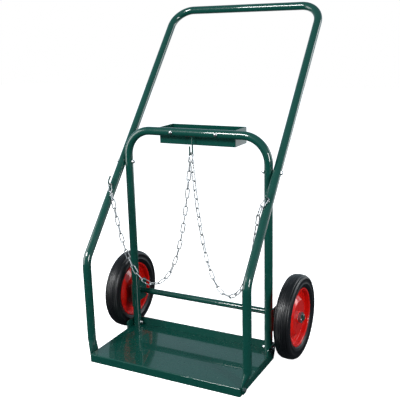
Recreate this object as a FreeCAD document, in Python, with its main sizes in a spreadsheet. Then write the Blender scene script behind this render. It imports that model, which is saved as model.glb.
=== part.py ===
"""Two-cylinder welding cart: bent steel tubes on a folded base pan, with two pressed wheels.

Frame: X to the right as seen from the front, Y backwards, Z up. The origin is on the floor, in the
middle between the two upright tubes and in their plane. All sizes are millimetres and degrees.
"""
import FreeCAD
import Part
import Sketcher
import math
import os

DRIVING_SIZES = {
    # bent tubes
    "tube_dia": 25.0,
    "tube_wall": 1.5,
    "upright_spacing": 462.4,
    "upright_height": 669.0,
    "upright_bend": 78.0,
    "tube_gap": 0.2,
    "lean_angle": 39.9,
    "cross_height": 570.0,
    "handle_height": 1023.5,
    "handle_bend": 66.0,
    "seam_drop": 12.0,
    "leg_forward": 215.4,
    "leg_bend": 62.0,
    "spigot_length": 50.0,
    "spigot_fit": 0.15,
    "leg_taper_top": 62.0,
    "leg_flat_top": 25.0,
    "leg_foot_shift": 4.0,
    "leg_lug_radius": 13.5,
    # base pan
    "base_height": 24.8,
    "base_sheet": 2.5,
    "base_front_reach": 27.6,
    "base_fit": 0.1,
    "lip_rise": 23.5,
    "ear_length": 56.0,
    "ear_round": 10.0,
    "flange_slant": 13.0,
    "pan_bend": 3.0,
    # tool tray
    "tray_width": 250.0,
    "tray_depth": 80.0,
    "tray_height": 49.0,
    "tray_drop": 38.0,
    "tray_sheet": 1.5,
    # fasteners
    "bolt_dia": 6.0,
    "bolt_clearance": 0.3,
    "bolt_head_flats": 10.0,
    "bolt_head_height": 4.0,
    "nut_height": 5.0,
    "bolt_spare": 3.0,
    "foot_bolt_rise": 10.7,
    "leg_bolt_height": 11.5,
    "tray_screw_spacing": 147.0,
    "tray_screw_head": 11.5,
    "tray_screw_dome": 3.4,
    # hooks
    "hook_rod": 4.6,
    "hook_weld_rise": 2.0,
    "side_hook_drop": 93.3,
    "side_hook_reach": 19.5,
    "side_hook_bend": 7.0,
    "side_hook_arm": 22.6,
    "center_hook_offset": -8.0,
    "center_hook_depth": 49.0,
    "center_hook_width": 17.5,
    "center_hook_bend": 4.5,
    "center_hook_arm": 24.5,
    # wheel brackets and axle
    "bracket_sheet": 3.0,
    "bracket_height": 70.0,
    "bracket_back": 84.0,
    "bracket_round": 14.0,
    "bracket_wrap": 8.0,
    "bracket_fit": 0.1,
    "axle_dia": 19.0,
    "axle_back": 50.0,
    "axle_chamfer": 1.5,
    "axle_fit": 0.08,
    # wheels
    "tyre_dia": 254.0,
    "tyre_width": 46.0,
    "tyre_inner_dia": 170.0,
    "tyre_shoulder": 15.0,
    "tyre_rib_pitch": 4.0,
    "tyre_rib_depth": 0.9,
    "tyre_groove": 1.1,
    "bead_fit": 0.3,
    "bead_chamfer": 1.0,
    "rim_sheet": 2.0,
    "rim_lip_dia": 176.0,
    "rim_half_width": 17.5,
    "rim_well_dia": 132.0,
    "rim_crown_dia": 100.0,
    "rim_crown_height": 13.0,
    "rim_web_offset": 0.1,
    "rim_lip_bend": 1.2,
    "rim_seat_bend": 3.2,
    "rim_well_bend": 8.0,
    "rim_crown_bend": 6.0,
    "hub_dia": 32.0,
    "hub_inboard": 35.7,
    "hub_outboard": 20.2,
    "hub_fit": 0.05,
    "bush_dia": 26.0,
    "bush_length": 14.0,
    "wheel_end_gap": 0.3,
    "wheel_side_play": 12.4,
    "washer_dia": 33.0,
    "washer_thickness": 2.0,
    "pin_dia": 3.0,
    "pin_inset": 4.5,
    "pin_eye": 4.0,
    "pin_leg": 7.0,
    "pin_spread": 25.0,
    # chains
    "chain_links": 30,
    "link_pitch": 27.8,
    "link_wire": 3.0,
    "link_width": 13.4,
    "link_gap": 0.7,
    "seat_gap": 0.7,
    "chain_seat": 7.6,
    "chain_apart": 6.9,
    "chain_line": 9.8,
    "first_roll": 12.0,
    "last_roll": -8.0,
    "top_lean_in": 13.0,
    "top_lean_forward": 4.0,
    "left_first_in": 27.0,
    "left_first_forward": 38.0,
    "left_second_in": 19.0,
    "left_second_forward": 8.0,
    "right_first_in": 27.0,
    "right_first_forward": 34.0,
    "right_second_in": 18.0,
    "right_second_forward": 5.0,
}

doc = FreeCAD.newDocument("welding_cart")
sizes = doc.addObject("Spreadsheet::Sheet", "Sizes")
for row, (alias, number) in enumerate(DRIVING_SIZES.items(), start=1):
    sizes.set("A%d" % row, alias)
    sizes.set("B%d" % row, str(number))
    sizes.setAlias("B%d" % row, alias)
doc.recompute()


def size(alias):
    """Value of a driving dimension, read from the sheet."""
    return float(sizes.get(alias))


class Formula:
    """An expression in the sheet's sizes, with its value for a first placing."""

    def __init__(self, text):
        self.text = text

    @property
    def bound(self):
        """The expression with each size written as a cell of the sheet."""
        words = sorted(DRIVING_SIZES, key=len, reverse=True)
        pieces = []
        word = ""
        for letter in self.text + " ":
            if letter.isalnum() or letter == "_":
                word += letter
                continue
            pieces.append("Sizes." + word if word in words else word)
            pieces.append(letter)
            word = ""
        return "".join(pieces).strip()

    @property
    def value(self):
        """The expression's number with the sheet's present sizes."""
        found = sizes.evalExpression(self.bound)
        return float(getattr(found, "Value", found))


def bind(item, prop, text):
    """Bind one property of a document object to a formula in the sheet's sizes."""
    item.setExpression(prop, Formula(text).bound)


# formulas that several pieces share
TUBE_R = "tube_dia / 2"
HALF = "upright_spacing / 2"
LEG_X = "(upright_spacing / 2 + tube_dia + tube_gap)"
OUTER_X = "(upright_spacing / 2 + tube_dia * 1.5 + tube_gap)"
INNER_X = "(upright_spacing / 2 - tube_dia / 2)"
PAN_X = "(upright_spacing / 2 + tube_dia / 2 + base_fit + base_sheet)"
PAN_FRONT = "(-leg_forward - base_front_reach)"
PAN_BACK = "(tube_dia / 2 + base_fit + base_sheet)"
BOLT_HOLE = "(bolt_dia / 2 + bolt_clearance)"
FOOT_BOLT_Z = "(base_height + foot_bolt_rise)"
TRAY_FRONT = "(tube_dia / 2 + base_fit)"
TRAY_BOTTOM = "(upright_height - tray_drop)"
AXLE_Z = "tyre_dia / 2"
FLAT_HALF = "(tube_wall + base_fit)"
LUG_Y = "(-leg_forward - leg_foot_shift)"
FLAT_X = "(upright_spacing / 2 + tube_dia / 2 + base_fit * 3 + base_sheet + tube_wall)"
LEFT_WHEEL_X = ("(upright_spacing / 2 + tube_dia / 2 + bracket_fit + bracket_sheet"
                " + wheel_end_gap + hub_inboard)")
RIGHT_WHEEL_X = "(" + LEFT_WHEEL_X + " + wheel_side_play)"
WASHER_X = "(" + RIGHT_WHEEL_X + " + hub_outboard + wheel_end_gap + washer_thickness)"
PIN_X = "(" + WASHER_X + " + wheel_end_gap + pin_dia / 2)"
AXLE_HALF = "(" + PIN_X + " + pin_inset)"
PIN_WIRE_SHARE = 0.8
# search for a hanging chain's pulls, counted in weights of one link
HALVINGS = 60
LEAST_PULL = 0.0001
MOST_PULL = 1000.0


def number(text):
    """Number of a formula in the sheet's sizes."""
    return Formula(text).value


# sketches: every point has its coordinates bound to the sheet

def origin_plane(body, role):
    """One of a body's own origin planes, found by its role."""
    for feature in body.Origin.OriginFeatures:
        if feature.Role == role:
            return feature
    raise ValueError(role)


def new_body(label):
    """Empty body whose label is the name of the sub-part."""
    body = doc.addObject("PartDesign::Body", label)
    body.Label = label
    return body


def new_sketch(body, name, role, offset="0"):
    """Sketch on one of the body's origin planes, moved along the plane's normal by a formula."""
    sketch = body.newObject("Sketcher::SketchObject", name)
    sketch.AttachmentSupport = (origin_plane(body, role), [""])
    sketch.MapMode = "FlatFace"
    bind(sketch, "AttachmentOffset.Base.z", offset)
    return sketch


def pin_point(sketch, geometry, position, across, up):
    """Hold one point of a sketch at coordinates given by two formulas."""
    for kind, text in (("DistanceX", across), ("DistanceY", up)):
        index = sketch.addConstraint(
            Sketcher.Constraint(kind, -1, 1, geometry, position, number(text)))
        sketch.setExpression("Constraints[%d]" % index, Formula(text).bound)


def add_circle(sketch, across, up, radius):
    """Circle with a bound centre and radius."""
    center = FreeCAD.Vector(number(across), number(up), 0)
    index = sketch.addGeometry(Part.Circle(center, FreeCAD.Vector(0, 0, 1), number(radius)), False)
    pin_point(sketch, index, 3, across, up)
    rule = sketch.addConstraint(Sketcher.Constraint("Radius", index, number(radius)))
    sketch.setExpression("Constraints[%d]" % rule, Formula(radius).bound)
    return index


def add_outline(sketch, corners, closed=True):
    """Straight outline through corners given as pairs of formulas."""
    points = [FreeCAD.Vector(number(x), number(y), 0) for x, y in corners]
    last = len(points) if closed else len(points) - 1
    lines = []
    for i in range(last):
        line = Part.LineSegment(points[i], points[(i + 1) % len(points)])
        lines.append(sketch.addGeometry(line, False))
    for i, line in enumerate(lines):
        pin_point(sketch, line, 1, *corners[i])
        if i + 1 < len(lines):
            sketch.addConstraint(Sketcher.Constraint("Coincident", line, 2, lines[i + 1], 1))
    if closed:
        sketch.addConstraint(Sketcher.Constraint("Coincident", lines[-1], 2, lines[0], 1))
    else:
        pin_point(sketch, lines[-1], 2, *corners[-1])
    return lines


def add_rectangle(sketch, left, right, low, high):
    """Rectangle between four formulas."""
    return add_outline(sketch, [(left, low), (right, low), (right, high), (left, high)])


def add_arc(sketch, center, radius, start_angle, end_angle, start, end, start_link, end_link):
    """Arc that joins the ends of two lines, with its radius bound.

    start_link and end_link are the (geometry, position) pairs that the arc's two ends meet."""
    middle = FreeCAD.Vector(number(center[0]), number(center[1]), 0)
    circle = Part.Circle(middle, FreeCAD.Vector(0, 0, 1), number(radius))
    index = sketch.addGeometry(Part.ArcOfCircle(circle, start_angle, end_angle), False)
    sketch.addConstraint(Sketcher.Constraint("Coincident", index, start, *start_link))
    sketch.addConstraint(Sketcher.Constraint("Coincident", index, end, *end_link))
    rule = sketch.addConstraint(Sketcher.Constraint("Radius", index, number(radius)))
    sketch.setExpression("Constraints[%d]" % rule, Formula(radius).bound)
    return index


def pad(body, name, sketch, length, symmetric=False, reverse=False):
    """Pad of a sketch with a bound length."""
    feature = body.newObject("PartDesign::Pad", name)
    feature.Profile = sketch
    if symmetric:
        feature.SideType = "Symmetric"
    feature.Reversed = reverse
    bind(feature, "Length", length)
    sketch.Visibility = False
    return feature


def pocket(body, name, sketch, length, symmetric=False, reverse=False):
    """Pocket of a sketch with a bound depth."""
    feature = body.newObject("PartDesign::Pocket", name)
    feature.Profile = sketch
    if symmetric:
        feature.SideType = "Symmetric"
    feature.Reversed = reverse
    bind(feature, "Length", length)
    return feature


def pipe(body, kind, name, profile, spine):
    """Additive or subtractive pipe of a profile sketch along a spine sketch."""
    feature = body.newObject("PartDesign::" + kind, name)
    feature.Profile = profile
    feature.Spine = (spine, [])
    feature.Transition = "Right corner"
    return feature


def revolve(body, name, sketch, kind="Revolution"):
    """Full revolution (or groove) of a sketch about its own horizontal axis."""
    feature = body.newObject("PartDesign::" + kind, name)
    feature.Profile = sketch
    feature.ReferenceAxis = (sketch, ["H_Axis"])
    feature.Angle = 360.0
    return feature


# bent inverted-U tubes

def inverted_u_spine(body, name, half_width, foot, top, bend):
    """Open path up one side, across the top and down the other, in the body's XY plane."""
    sketch = new_sketch(body, name, "XY_Plane")
    bend_low = "(%s) - (%s)" % (top, bend)
    bend_in = "(%s) - (%s)" % (half_width, bend)
    left = add_outline(sketch, [("-(%s)" % half_width, foot), ("-(%s)" % half_width, bend_low)],
                       closed=False)[0]
    across = add_outline(sketch, [("-(%s)" % bend_in, top), (bend_in, top)], closed=False)[0]
    right = add_outline(sketch, [(half_width, bend_low), (half_width, foot)], closed=False)[0]
    add_arc(sketch, ("-(%s)" % bend_in, bend_low), bend, math.pi / 2, math.pi, 1, 2,
            (across, 1), (left, 2))
    add_arc(sketch, (bend_in, bend_low), bend, 0, math.pi / 2, 1, 2, (right, 1), (across, 2))
    return sketch


def inverted_u_tube(label, half_width, foot, top, bend):
    """Hollow tube along an inverted-U path, drawn in the body's XY plane."""
    body = new_body(label)
    spine = inverted_u_spine(body, label + "_path", half_width, foot, top, bend)
    outside = new_sketch(body, label + "_outside", "XZ_Plane", "-(%s)" % foot)
    add_circle(outside, "-(%s)" % half_width, "0", TUBE_R)
    inside = new_sketch(body, label + "_inside", "XZ_Plane", "-(%s)" % foot)
    add_circle(inside, "-(%s)" % half_width, "0", TUBE_R + " - tube_wall")
    doc.recompute()
    pipe(body, "AdditivePipe", label + "_tube", outside, spine)
    doc.recompute()
    pipe(body, "SubtractivePipe", label + "_bore", inside, spine)
    doc.recompute()
    return body


def cross_holes(body, name, up, radius, plane="YZ_Plane", reach="upright_spacing"):
    """Round holes through the body along its X axis, at a formula's height."""
    holes = new_sketch(body, name + "_sketch", plane)
    add_circle(holes, up, "0", radius)
    doc.recompute()
    return pocket(body, name, holes, reach, symmetric=True)


def build_handle():
    """Push handle: the upper bent tube, whose open ends slip over the front legs' spigots."""
    top = "(handle_height - cross_height) / cos(lean_angle * 1 deg)"
    body = inverted_u_tube("handle_tube", LEG_X, "-seam_drop", top, "handle_bend")
    cross_holes(body, "handle_bolt_holes", "0", BOLT_HOLE, reach="upright_spacing * 2")
    body.Placement = FreeCAD.Placement(
        FreeCAD.Vector(0, 0, size("cross_height")),
        FreeCAD.Rotation(FreeCAD.Vector(1, 0, 0), 90 - size("lean_angle")))
    bind(body, "Placement.Base.z", "cross_height")
    bind(body, "Placement.Rotation.Angle", "(90 - lean_angle) * 1 deg")
    return body


def build_upright_frame():
    """Rear upright: the inner bent tube that carries the tray, the hook and the brackets."""
    body = inverted_u_tube("upright_frame", HALF, "base_height", "upright_height", "upright_bend")
    cross_holes(body, "upright_handle_holes", "cross_height", BOLT_HOLE, reach="upright_spacing * 2")
    cross_holes(body, "upright_foot_holes", FOOT_BOLT_Z, BOLT_HOLE, reach="upright_spacing * 2")
    screws = new_sketch(body, "upright_screw_sketch", "XY_Plane")
    for side in ("-", ""):
        add_circle(screws, side + "tray_screw_spacing / 2", "upright_height", BOLT_HOLE)
    doc.recompute()
    pocket(body, "upright_screw_holes", screws, "tube_dia * 2", symmetric=True)
    body.Placement = FreeCAD.Placement(
        FreeCAD.Vector(), FreeCAD.Rotation(FreeCAD.Vector(1, 0, 0), 90))
    return body


# base pan and tray

def build_base_pan():
    """Folded base pan: top plate, front and side flanges down, rear lip up with two side ears."""
    body = new_body("base_pan")
    plan = new_sketch(body, "pan_plan", "XY_Plane")
    add_rectangle(plan, "-" + PAN_X, PAN_X, PAN_FRONT, PAN_BACK)
    pad(body, "pan_block", plan, "base_height")
    doc.recompute()
    fillet(body, "pan_bends", "pan_bend", pan_bend_edges(body))
    doc.recompute()
    hollow = new_sketch(body, "pan_hollow_sketch", "XY_Plane")
    add_rectangle(hollow, "-(%s - base_sheet)" % PAN_X, "%s - base_sheet" % PAN_X,
                  "%s + base_sheet" % PAN_FRONT, "%s + base_sheet" % PAN_BACK)
    doc.recompute()
    pocket(body, "pan_hollow", hollow, "base_height - base_sheet", reverse=True)
    doc.recompute()
    lip_bottom = "base_height - base_sheet - pan_bend"
    lip = new_sketch(body, "lip_plan", "XY_Plane", lip_bottom)
    ear_front = "%s - ear_length" % PAN_BACK
    add_outline(lip, [("-" + PAN_X, ear_front), ("-" + PAN_X, PAN_BACK), (PAN_X, PAN_BACK),
                      (PAN_X, ear_front), ("%s - base_sheet" % PAN_X, ear_front),
                      ("%s - base_sheet" % PAN_X, "%s - base_sheet" % PAN_BACK),
                      ("-(%s - base_sheet)" % PAN_X, "%s - base_sheet" % PAN_BACK),
                      ("-(%s - base_sheet)" % PAN_X, ear_front)])
    pad(body, "lip_wall", lip, "lip_rise + base_sheet + pan_bend")
    doc.recompute()
    fillet(body, "ear_rounding", "ear_round", ear_corner_edges(body))
    doc.recompute()
    slant = new_sketch(body, "flange_slant_sketch", "YZ_Plane")
    slant_top = "base_height - base_sheet"
    add_outline(slant, [("%s - flange_slant" % PAN_BACK, "-base_sheet"),
                        ("%s + base_sheet" % PAN_BACK, "-base_sheet"),
                        ("%s + base_sheet" % PAN_BACK, slant_top), (PAN_BACK, slant_top)])
    doc.recompute()
    pocket(body, "flange_slant_cut", slant, "upright_spacing * 2", symmetric=True)
    doc.recompute()
    bolts = new_sketch(body, "pan_bolt_sketch", "YZ_Plane")
    add_circle(bolts, "0", FOOT_BOLT_Z, BOLT_HOLE)
    add_circle(bolts, LUG_Y, "leg_bolt_height", BOLT_HOLE)
    doc.recompute()
    pocket(body, "pan_bolt_holes", bolts, "upright_spacing * 2", symmetric=True)
    return body


def edges_where(body, test):
    """Names of the body's straight edges whose middle and direction pass a test."""
    names = []
    for index, edge in enumerate(body.Shape.Edges, start=1):
        along = edge.Vertexes[-1].Point - edge.Vertexes[0].Point
        straight = close(along.Length, edge.Length, 1e-6)
        if straight and test(edge.CenterOfMass, along):
            names.append("Edge%d" % index)
    return names


def close(value, target, room=0.05):
    """True where two lengths agree."""
    return abs(value - target) < room


def ear_corner_edges(body):
    """The two free top corners at the front of the ears."""
    front = number("%s - ear_length" % PAN_BACK)
    top = number("base_height + lip_rise")

    def at_corner(middle, along):
        return close(middle.y, front) and close(middle.z, top) and abs(along.x) > abs(along.y)
    return edges_where(body, at_corner)


def pan_bend_edges(body):
    """Folded edges of the pan's block: along the top at the front and sides, and both corners."""
    front = number(PAN_FRONT)
    side = number(PAN_X)
    plate_top = size("base_height")

    def on_fold(middle, along):
        on_front = close(middle.y, front)
        on_side = close(abs(middle.x), side)
        at_top = close(middle.z, plate_top)
        return (on_front and at_top) or (on_side and at_top) or (on_front and on_side)
    return edges_where(body, on_fold)


def fillet(body, name, radius, edges):
    """Round the named edges of the body's present tip."""
    if not edges:
        raise ValueError("no edges for " + name)
    shape_before = body.Tip
    feature = body.newObject("PartDesign::Fillet", name)
    feature.Base = (shape_before, edges)
    bind(feature, "Radius", radius)
    return feature


def build_tool_tray():
    """Open tray behind the top bar."""
    body = new_body("tool_tray")
    plan = new_sketch(body, "tray_plan", "XY_Plane", TRAY_BOTTOM)
    add_rectangle(plan, "-tray_width / 2", "tray_width / 2", TRAY_FRONT, TRAY_FRONT + " + tray_depth")
    pad(body, "tray_block", plan, "tray_height")
    doc.recompute()
    hollow = new_sketch(body, "tray_hollow_sketch", "XY_Plane", TRAY_BOTTOM + " + tray_sheet")
    add_rectangle(hollow, "-(tray_width / 2 - tray_sheet)", "tray_width / 2 - tray_sheet",
                  TRAY_FRONT + " + tray_sheet", TRAY_FRONT + " + tray_depth - tray_sheet")
    doc.recompute()
    pocket(body, "tray_hollow", hollow, "tray_height", reverse=True)
    doc.recompute()
    screws = new_sketch(body, "tray_screw_sketch", "XZ_Plane")
    for side in ("-", ""):
        add_circle(screws, side + "tray_screw_spacing / 2", "upright_height", BOLT_HOLE)
    doc.recompute()
    pocket(body, "tray_screw_holes", screws, "(tube_dia + tray_sheet) * 2", symmetric=True)
    return body


# paths with tangent bends, for rods and pressed sheet

def bent_path(corners, radii):
    """Wire through corner points, with a tangent arc of the given radius at each inner corner."""
    edges = []
    start = corners[0]
    for corner, following, radius in zip(corners[1:-1], corners[2:], radii):
        into = (corner - start).normalize()
        out = (following - corner).normalize()
        turn = into.getAngle(out)
        reach = radius * math.tan(turn / 2)
        entry = corner - into * reach
        leave = corner + out * reach
        toward = (out - into).normalize()
        middle = corner + toward * (radius / math.cos(turn / 2) - radius)
        edges.append(Part.LineSegment(start, entry).toShape())
        edges.append(Part.Arc(entry, middle, leave).toShape())
        start = leave
    edges.append(Part.LineSegment(start, corners[-1]).toShape())
    return Part.Wire(edges)


def swept_round(path, radius):
    """Solid round bar along a path."""
    first = path.Edges[0]
    start = first.valueAt(first.FirstParameter)
    along = first.tangentAt(first.FirstParameter)
    section = Part.Wire(Part.Circle(start, along, radius).toShape())
    return path.makePipeShell([section], True, False)


def feature_of(label, shape):
    """Document object that holds a shape made by functions."""
    item = doc.addObject("Part::Feature", label)
    item.Label = label
    item.Shape = shape
    item.Placement = FreeCAD.Placement()
    return item


def mirrored(shape):
    """Copy of a shape mirrored across the cart's middle plane."""
    return shape.mirror(FreeCAD.Vector(), FreeCAD.Vector(1, 0, 0))


def lean_directions():
    """Unit vectors up along the leaning tubes, and square to them towards the front."""
    lean = math.radians(size("lean_angle"))
    along = FreeCAD.Vector(0, math.sin(lean), math.cos(lean))
    forward = FreeCAD.Vector(0, -math.cos(lean), math.sin(lean))
    return along, forward


# front legs

def flat_oval(middle_x, middle_y, height, half_thick, half_width):
    """Closed outline of a pressed tube at one height: two flats joined by round ends."""
    straight = half_width - half_thick
    front = middle_y - straight
    back = middle_y + straight

    def at(x, y):
        return FreeCAD.Vector(middle_x + x, y, height)
    edges = [
        Part.LineSegment(at(half_thick, front), at(half_thick, back)).toShape(),
        Part.Arc(at(half_thick, back), at(0, back + half_thick), at(-half_thick, back)).toShape(),
        Part.LineSegment(at(-half_thick, back), at(-half_thick, front)).toShape(),
        Part.Arc(at(-half_thick, front), at(0, front - half_thick), at(half_thick, front)).toShape(),
    ]
    return Part.Wire(edges)


def round_in_quarters(middle_x, middle_y, height, radius):
    """Circle made of four arcs that match the four edges of a flat oval."""
    def at(degrees):
        angle = math.radians(degrees)
        return FreeCAD.Vector(middle_x + radius * math.cos(angle),
                              middle_y + radius * math.sin(angle), height)
    turns = [(-30, 0, 30), (30, 90, 150), (150, 180, 210), (210, 270, 330)]
    return Part.Wire([Part.Arc(at(a), at(b), at(c)).toShape() for a, b, c in turns])


def pressed_end(radius, half_thick, leg_x):
    """Solid from the round tube down to its flat end."""
    taper_top = size("leg_taper_top")
    flat_top = size("leg_flat_top")
    leg_y = -size("leg_forward")
    lug_y = leg_y - size("leg_foot_shift")
    half_width = math.pi * (size("tube_dia") - size("tube_wall")) / 4 + half_thick
    flat_x = number(FLAT_X)
    middle = (taper_top + flat_top) / 2
    sections = [
        round_in_quarters(leg_x, leg_y, taper_top, radius),
        flat_oval((leg_x + flat_x) / 2, (leg_y + lug_y) / 2, middle,
                  (radius + half_thick) / 2, (radius + half_width) / 2),
        flat_oval(flat_x, lug_y, flat_top, half_thick, half_width),
    ]
    taper = Part.makeLoft(sections, True, False)
    flat = Part.Face(sections[-1]).extrude(FreeCAD.Vector(0, 0, -flat_top))
    return taper, flat


def lug_outline():
    """Prism that trims the flat end to a rounded lug about its bolt."""
    lug_y = -size("leg_forward") - size("leg_foot_shift")
    radius = size("leg_lug_radius")
    bolt_z = size("leg_bolt_height")
    half_width = math.pi * (size("tube_dia") - size("tube_wall")) / 4 + size("tube_wall") * 2
    flat_top = size("leg_flat_top")
    flat_x = number(FLAT_X)
    side = flat_x - size("tube_dia")

    def at(y, z):
        return FreeCAD.Vector(side, lug_y + y, z)
    bottom = at(0, bolt_z - radius)
    edges = [
        Part.Arc(at(-radius, bolt_z), bottom, at(radius, bolt_z)).toShape(),
        Part.LineSegment(at(radius, bolt_z), at(half_width, flat_top)).toShape(),
        Part.LineSegment(at(half_width, flat_top), at(-half_width, flat_top)).toShape(),
        Part.LineSegment(at(-half_width, flat_top), at(-radius, bolt_z)).toShape(),
    ]
    return Part.Face(Part.Wire(edges)).extrude(FreeCAD.Vector(size("tube_dia") * 2, 0, 0))


def build_front_leg():
    """Right front leg: spigot into the handle, lean, bend, vertical run and pressed bolt lug."""
    leg_x = number(LEG_X)
    radius = size("tube_dia") / 2
    wall = size("tube_wall")
    along, _ = lean_directions()
    cross = FreeCAD.Vector(leg_x, 0, size("cross_height"))
    shoulder = cross - along * (size("seam_drop") + size("base_fit"))
    bend_z = size("cross_height") - size("leg_forward") / math.tan(math.radians(size("lean_angle")))
    bend = FreeCAD.Vector(leg_x, -size("leg_forward"), bend_z)
    foot = FreeCAD.Vector(leg_x, -size("leg_forward"), size("leg_taper_top"))
    path = bent_path([shoulder, bend, foot], [size("leg_bend")])
    spigot_radius = radius - wall - size("spigot_fit")
    neck = shoulder - along * wall
    collar = Part.makeCylinder(radius, wall, neck, along)
    spigot = Part.makeCylinder(spigot_radius, size("spigot_length") + wall, neck, along)
    spigot_bore = Part.makeCylinder(spigot_radius - wall, size("spigot_length") + wall * 2, neck,
                                    along)
    taper, flat = pressed_end(radius, number(FLAT_HALF), leg_x)
    hollow_taper, _ = pressed_end(radius - wall, size("base_fit") / 2, leg_x)
    skin = swept_round(path, radius).cut(swept_round(path, radius - wall))
    skin = skin.fuse(collar.fuse(spigot).cut(spigot_bore))
    skin = skin.fuse(taper.cut(hollow_taper))
    skin = skin.fuse(flat.common(lug_outline()))
    bolt_hole = Part.makeCylinder(number(BOLT_HOLE), size("tube_dia") * 3,
                                  cross - FreeCAD.Vector(size("tube_dia") * 1.5, 0, 0),
                                  FreeCAD.Vector(1, 0, 0))
    lug_center = FreeCAD.Vector(leg_x - size("tube_dia") * 1.5,
                                -size("leg_forward") - size("leg_foot_shift"),
                                size("leg_bolt_height"))
    lug_hole = Part.makeCylinder(number(BOLT_HOLE), size("tube_dia") * 3, lug_center,
                                 FreeCAD.Vector(1, 0, 0))
    return skin.cut(bolt_hole).cut(lug_hole).removeSplitter()


# hooks

def weld_foot(point, direction):
    """Cone of weld metal round a hook rod where it meets a tube."""
    rod = size("hook_rod") / 2
    rise = size("hook_weld_rise")
    return Part.makeCone(rod + rise * 2, rod, rise * 2, point - direction * rise, direction)


def build_side_hook():
    """Right side hook: a stub welded square to the leg's front, then an arm along the leg."""
    along, forward = lean_directions()
    radius = size("tube_dia") / 2
    axis = side_hook_axis()
    knee = axis + forward * (radius + size("side_hook_reach"))
    tip = knee + along * size("side_hook_arm")
    rod = swept_round(bent_path([axis, knee, tip], [size("side_hook_bend")]), size("hook_rod") / 2)
    leg_reach = along * size("side_hook_drop")
    leg = Part.makeCylinder(radius, leg_reach.Length * 2, axis - leg_reach, along)
    return rod.fuse(weld_foot(axis + forward * radius, forward)).cut(leg)


def side_hook_axis():
    """Point on the right leg's axis where the side hook's stub is square to it."""
    along, _ = lean_directions()
    return FreeCAD.Vector(number(LEG_X), 0, size("cross_height")) - along * size("side_hook_drop")


def center_hook_bottom():
    """Height of the centre hook's lowest rod axis."""
    return size("upright_height") - size("tube_dia") / 2 - size("center_hook_depth")


def build_center_hook():
    """Centre hook: a shank welded under the top bar, a flat bottom and a free front arm."""
    across = size("center_hook_offset")
    low = center_hook_bottom()
    width = size("center_hook_width")
    bar = size("upright_height")

    def at(y, z):
        return FreeCAD.Vector(across, y, z)
    corners = [at(0, bar), at(0, low), at(-width, low), at(-width, low + size("center_hook_arm"))]
    rod = swept_round(bent_path(corners, [size("center_hook_bend")] * 2), size("hook_rod") / 2)
    down = FreeCAD.Vector(0, 0, -1)
    foot = weld_foot(at(0, bar - size("tube_dia") / 2), down)
    tube = Part.makeCylinder(size("tube_dia") / 2, size("tube_dia") * 2,
                             FreeCAD.Vector(across - size("tube_dia"), 0, bar),
                             FreeCAD.Vector(1, 0, 0))
    return rod.fuse(foot).cut(tube)


def hang_direction(side, inward, forward):
    """Unit vector down a hanging link, leaning inwards and forwards by angles in degrees."""
    inward = math.radians(inward)
    forward = math.radians(forward)
    return FreeCAD.Vector(-side * math.sin(inward), -math.cos(inward) * math.sin(forward),
                          -math.cos(inward) * math.cos(forward))


def side_pivot(side):
    """Point on the side hook's rod that the first link hangs round."""
    _, forward = lean_directions()
    pivot = side_hook_axis() + forward * (size("tube_dia") / 2 + size("chain_seat"))
    pivot.x *= side
    return pivot


def center_pivot(side):
    """Point on the centre hook's rod that a chain's last link hangs round, right one in front."""
    across = -size("chain_line") - side * size("chain_apart") / 2
    return FreeCAD.Vector(size("center_hook_offset"), across, center_hook_bottom())


# chains

def chain_link():
    """One long link about the origin: length along X, flat in the XY plane."""
    wire = size("link_wire") / 2
    bend = size("link_width") / 2 - wire
    straight = (size("link_pitch") + size("link_wire")) / 2 - bend

    def at(x, y):
        return FreeCAD.Vector(x, y, 0)
    around = [
        Part.LineSegment(at(-straight, -bend), at(straight, -bend)).toShape(),
        Part.Arc(at(straight, -bend), at(straight + bend, 0), at(straight, bend)).toShape(),
        Part.LineSegment(at(straight, bend), at(-straight, bend)).toShape(),
        Part.Arc(at(-straight, bend), at(-straight - bend, 0), at(-straight, -bend)).toShape(),
    ]
    start = at(-straight, -bend)
    section = Part.Wire(Part.Circle(start, FreeCAD.Vector(1, 0, 0), wire).toShape())
    return Part.Wire(around).makePipeShell([section], True, False)


def hang_run(lengths, span, rise):
    """Slopes of hanging links as pairs (across, up), one for each length, between two points.

    Each link pulls with its own weight, so the upward pull grows by one weight from link to link
    while the sideways pull stays the same. Both pulls are found by halving."""
    def end_of(pull, lift):
        across = 0.0
        up = 0.0
        for index, length in enumerate(lengths):
            force = math.hypot(pull, lift + index)
            across += length * pull / force
            up += length * (lift + index) / force
        return across, up

    def lift_for(pull):
        low = -MOST_PULL
        high = MOST_PULL
        for _ in range(HALVINGS):
            middle = (low + high) / 2
            if end_of(pull, middle)[1] < rise:
                low = middle
            else:
                high = middle
        return (low + high) / 2

    least = LEAST_PULL
    most = MOST_PULL
    for _ in range(HALVINGS):
        pull = math.sqrt(least * most)
        if end_of(pull, lift_for(pull))[0] < span:
            least = pull
        else:
            most = pull
    lift = lift_for(pull)
    slopes = []
    for index in range(len(lengths)):
        force = math.hypot(pull, lift + index)
        slopes.append((pull / force, (lift + index) / force))
    return slopes


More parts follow.
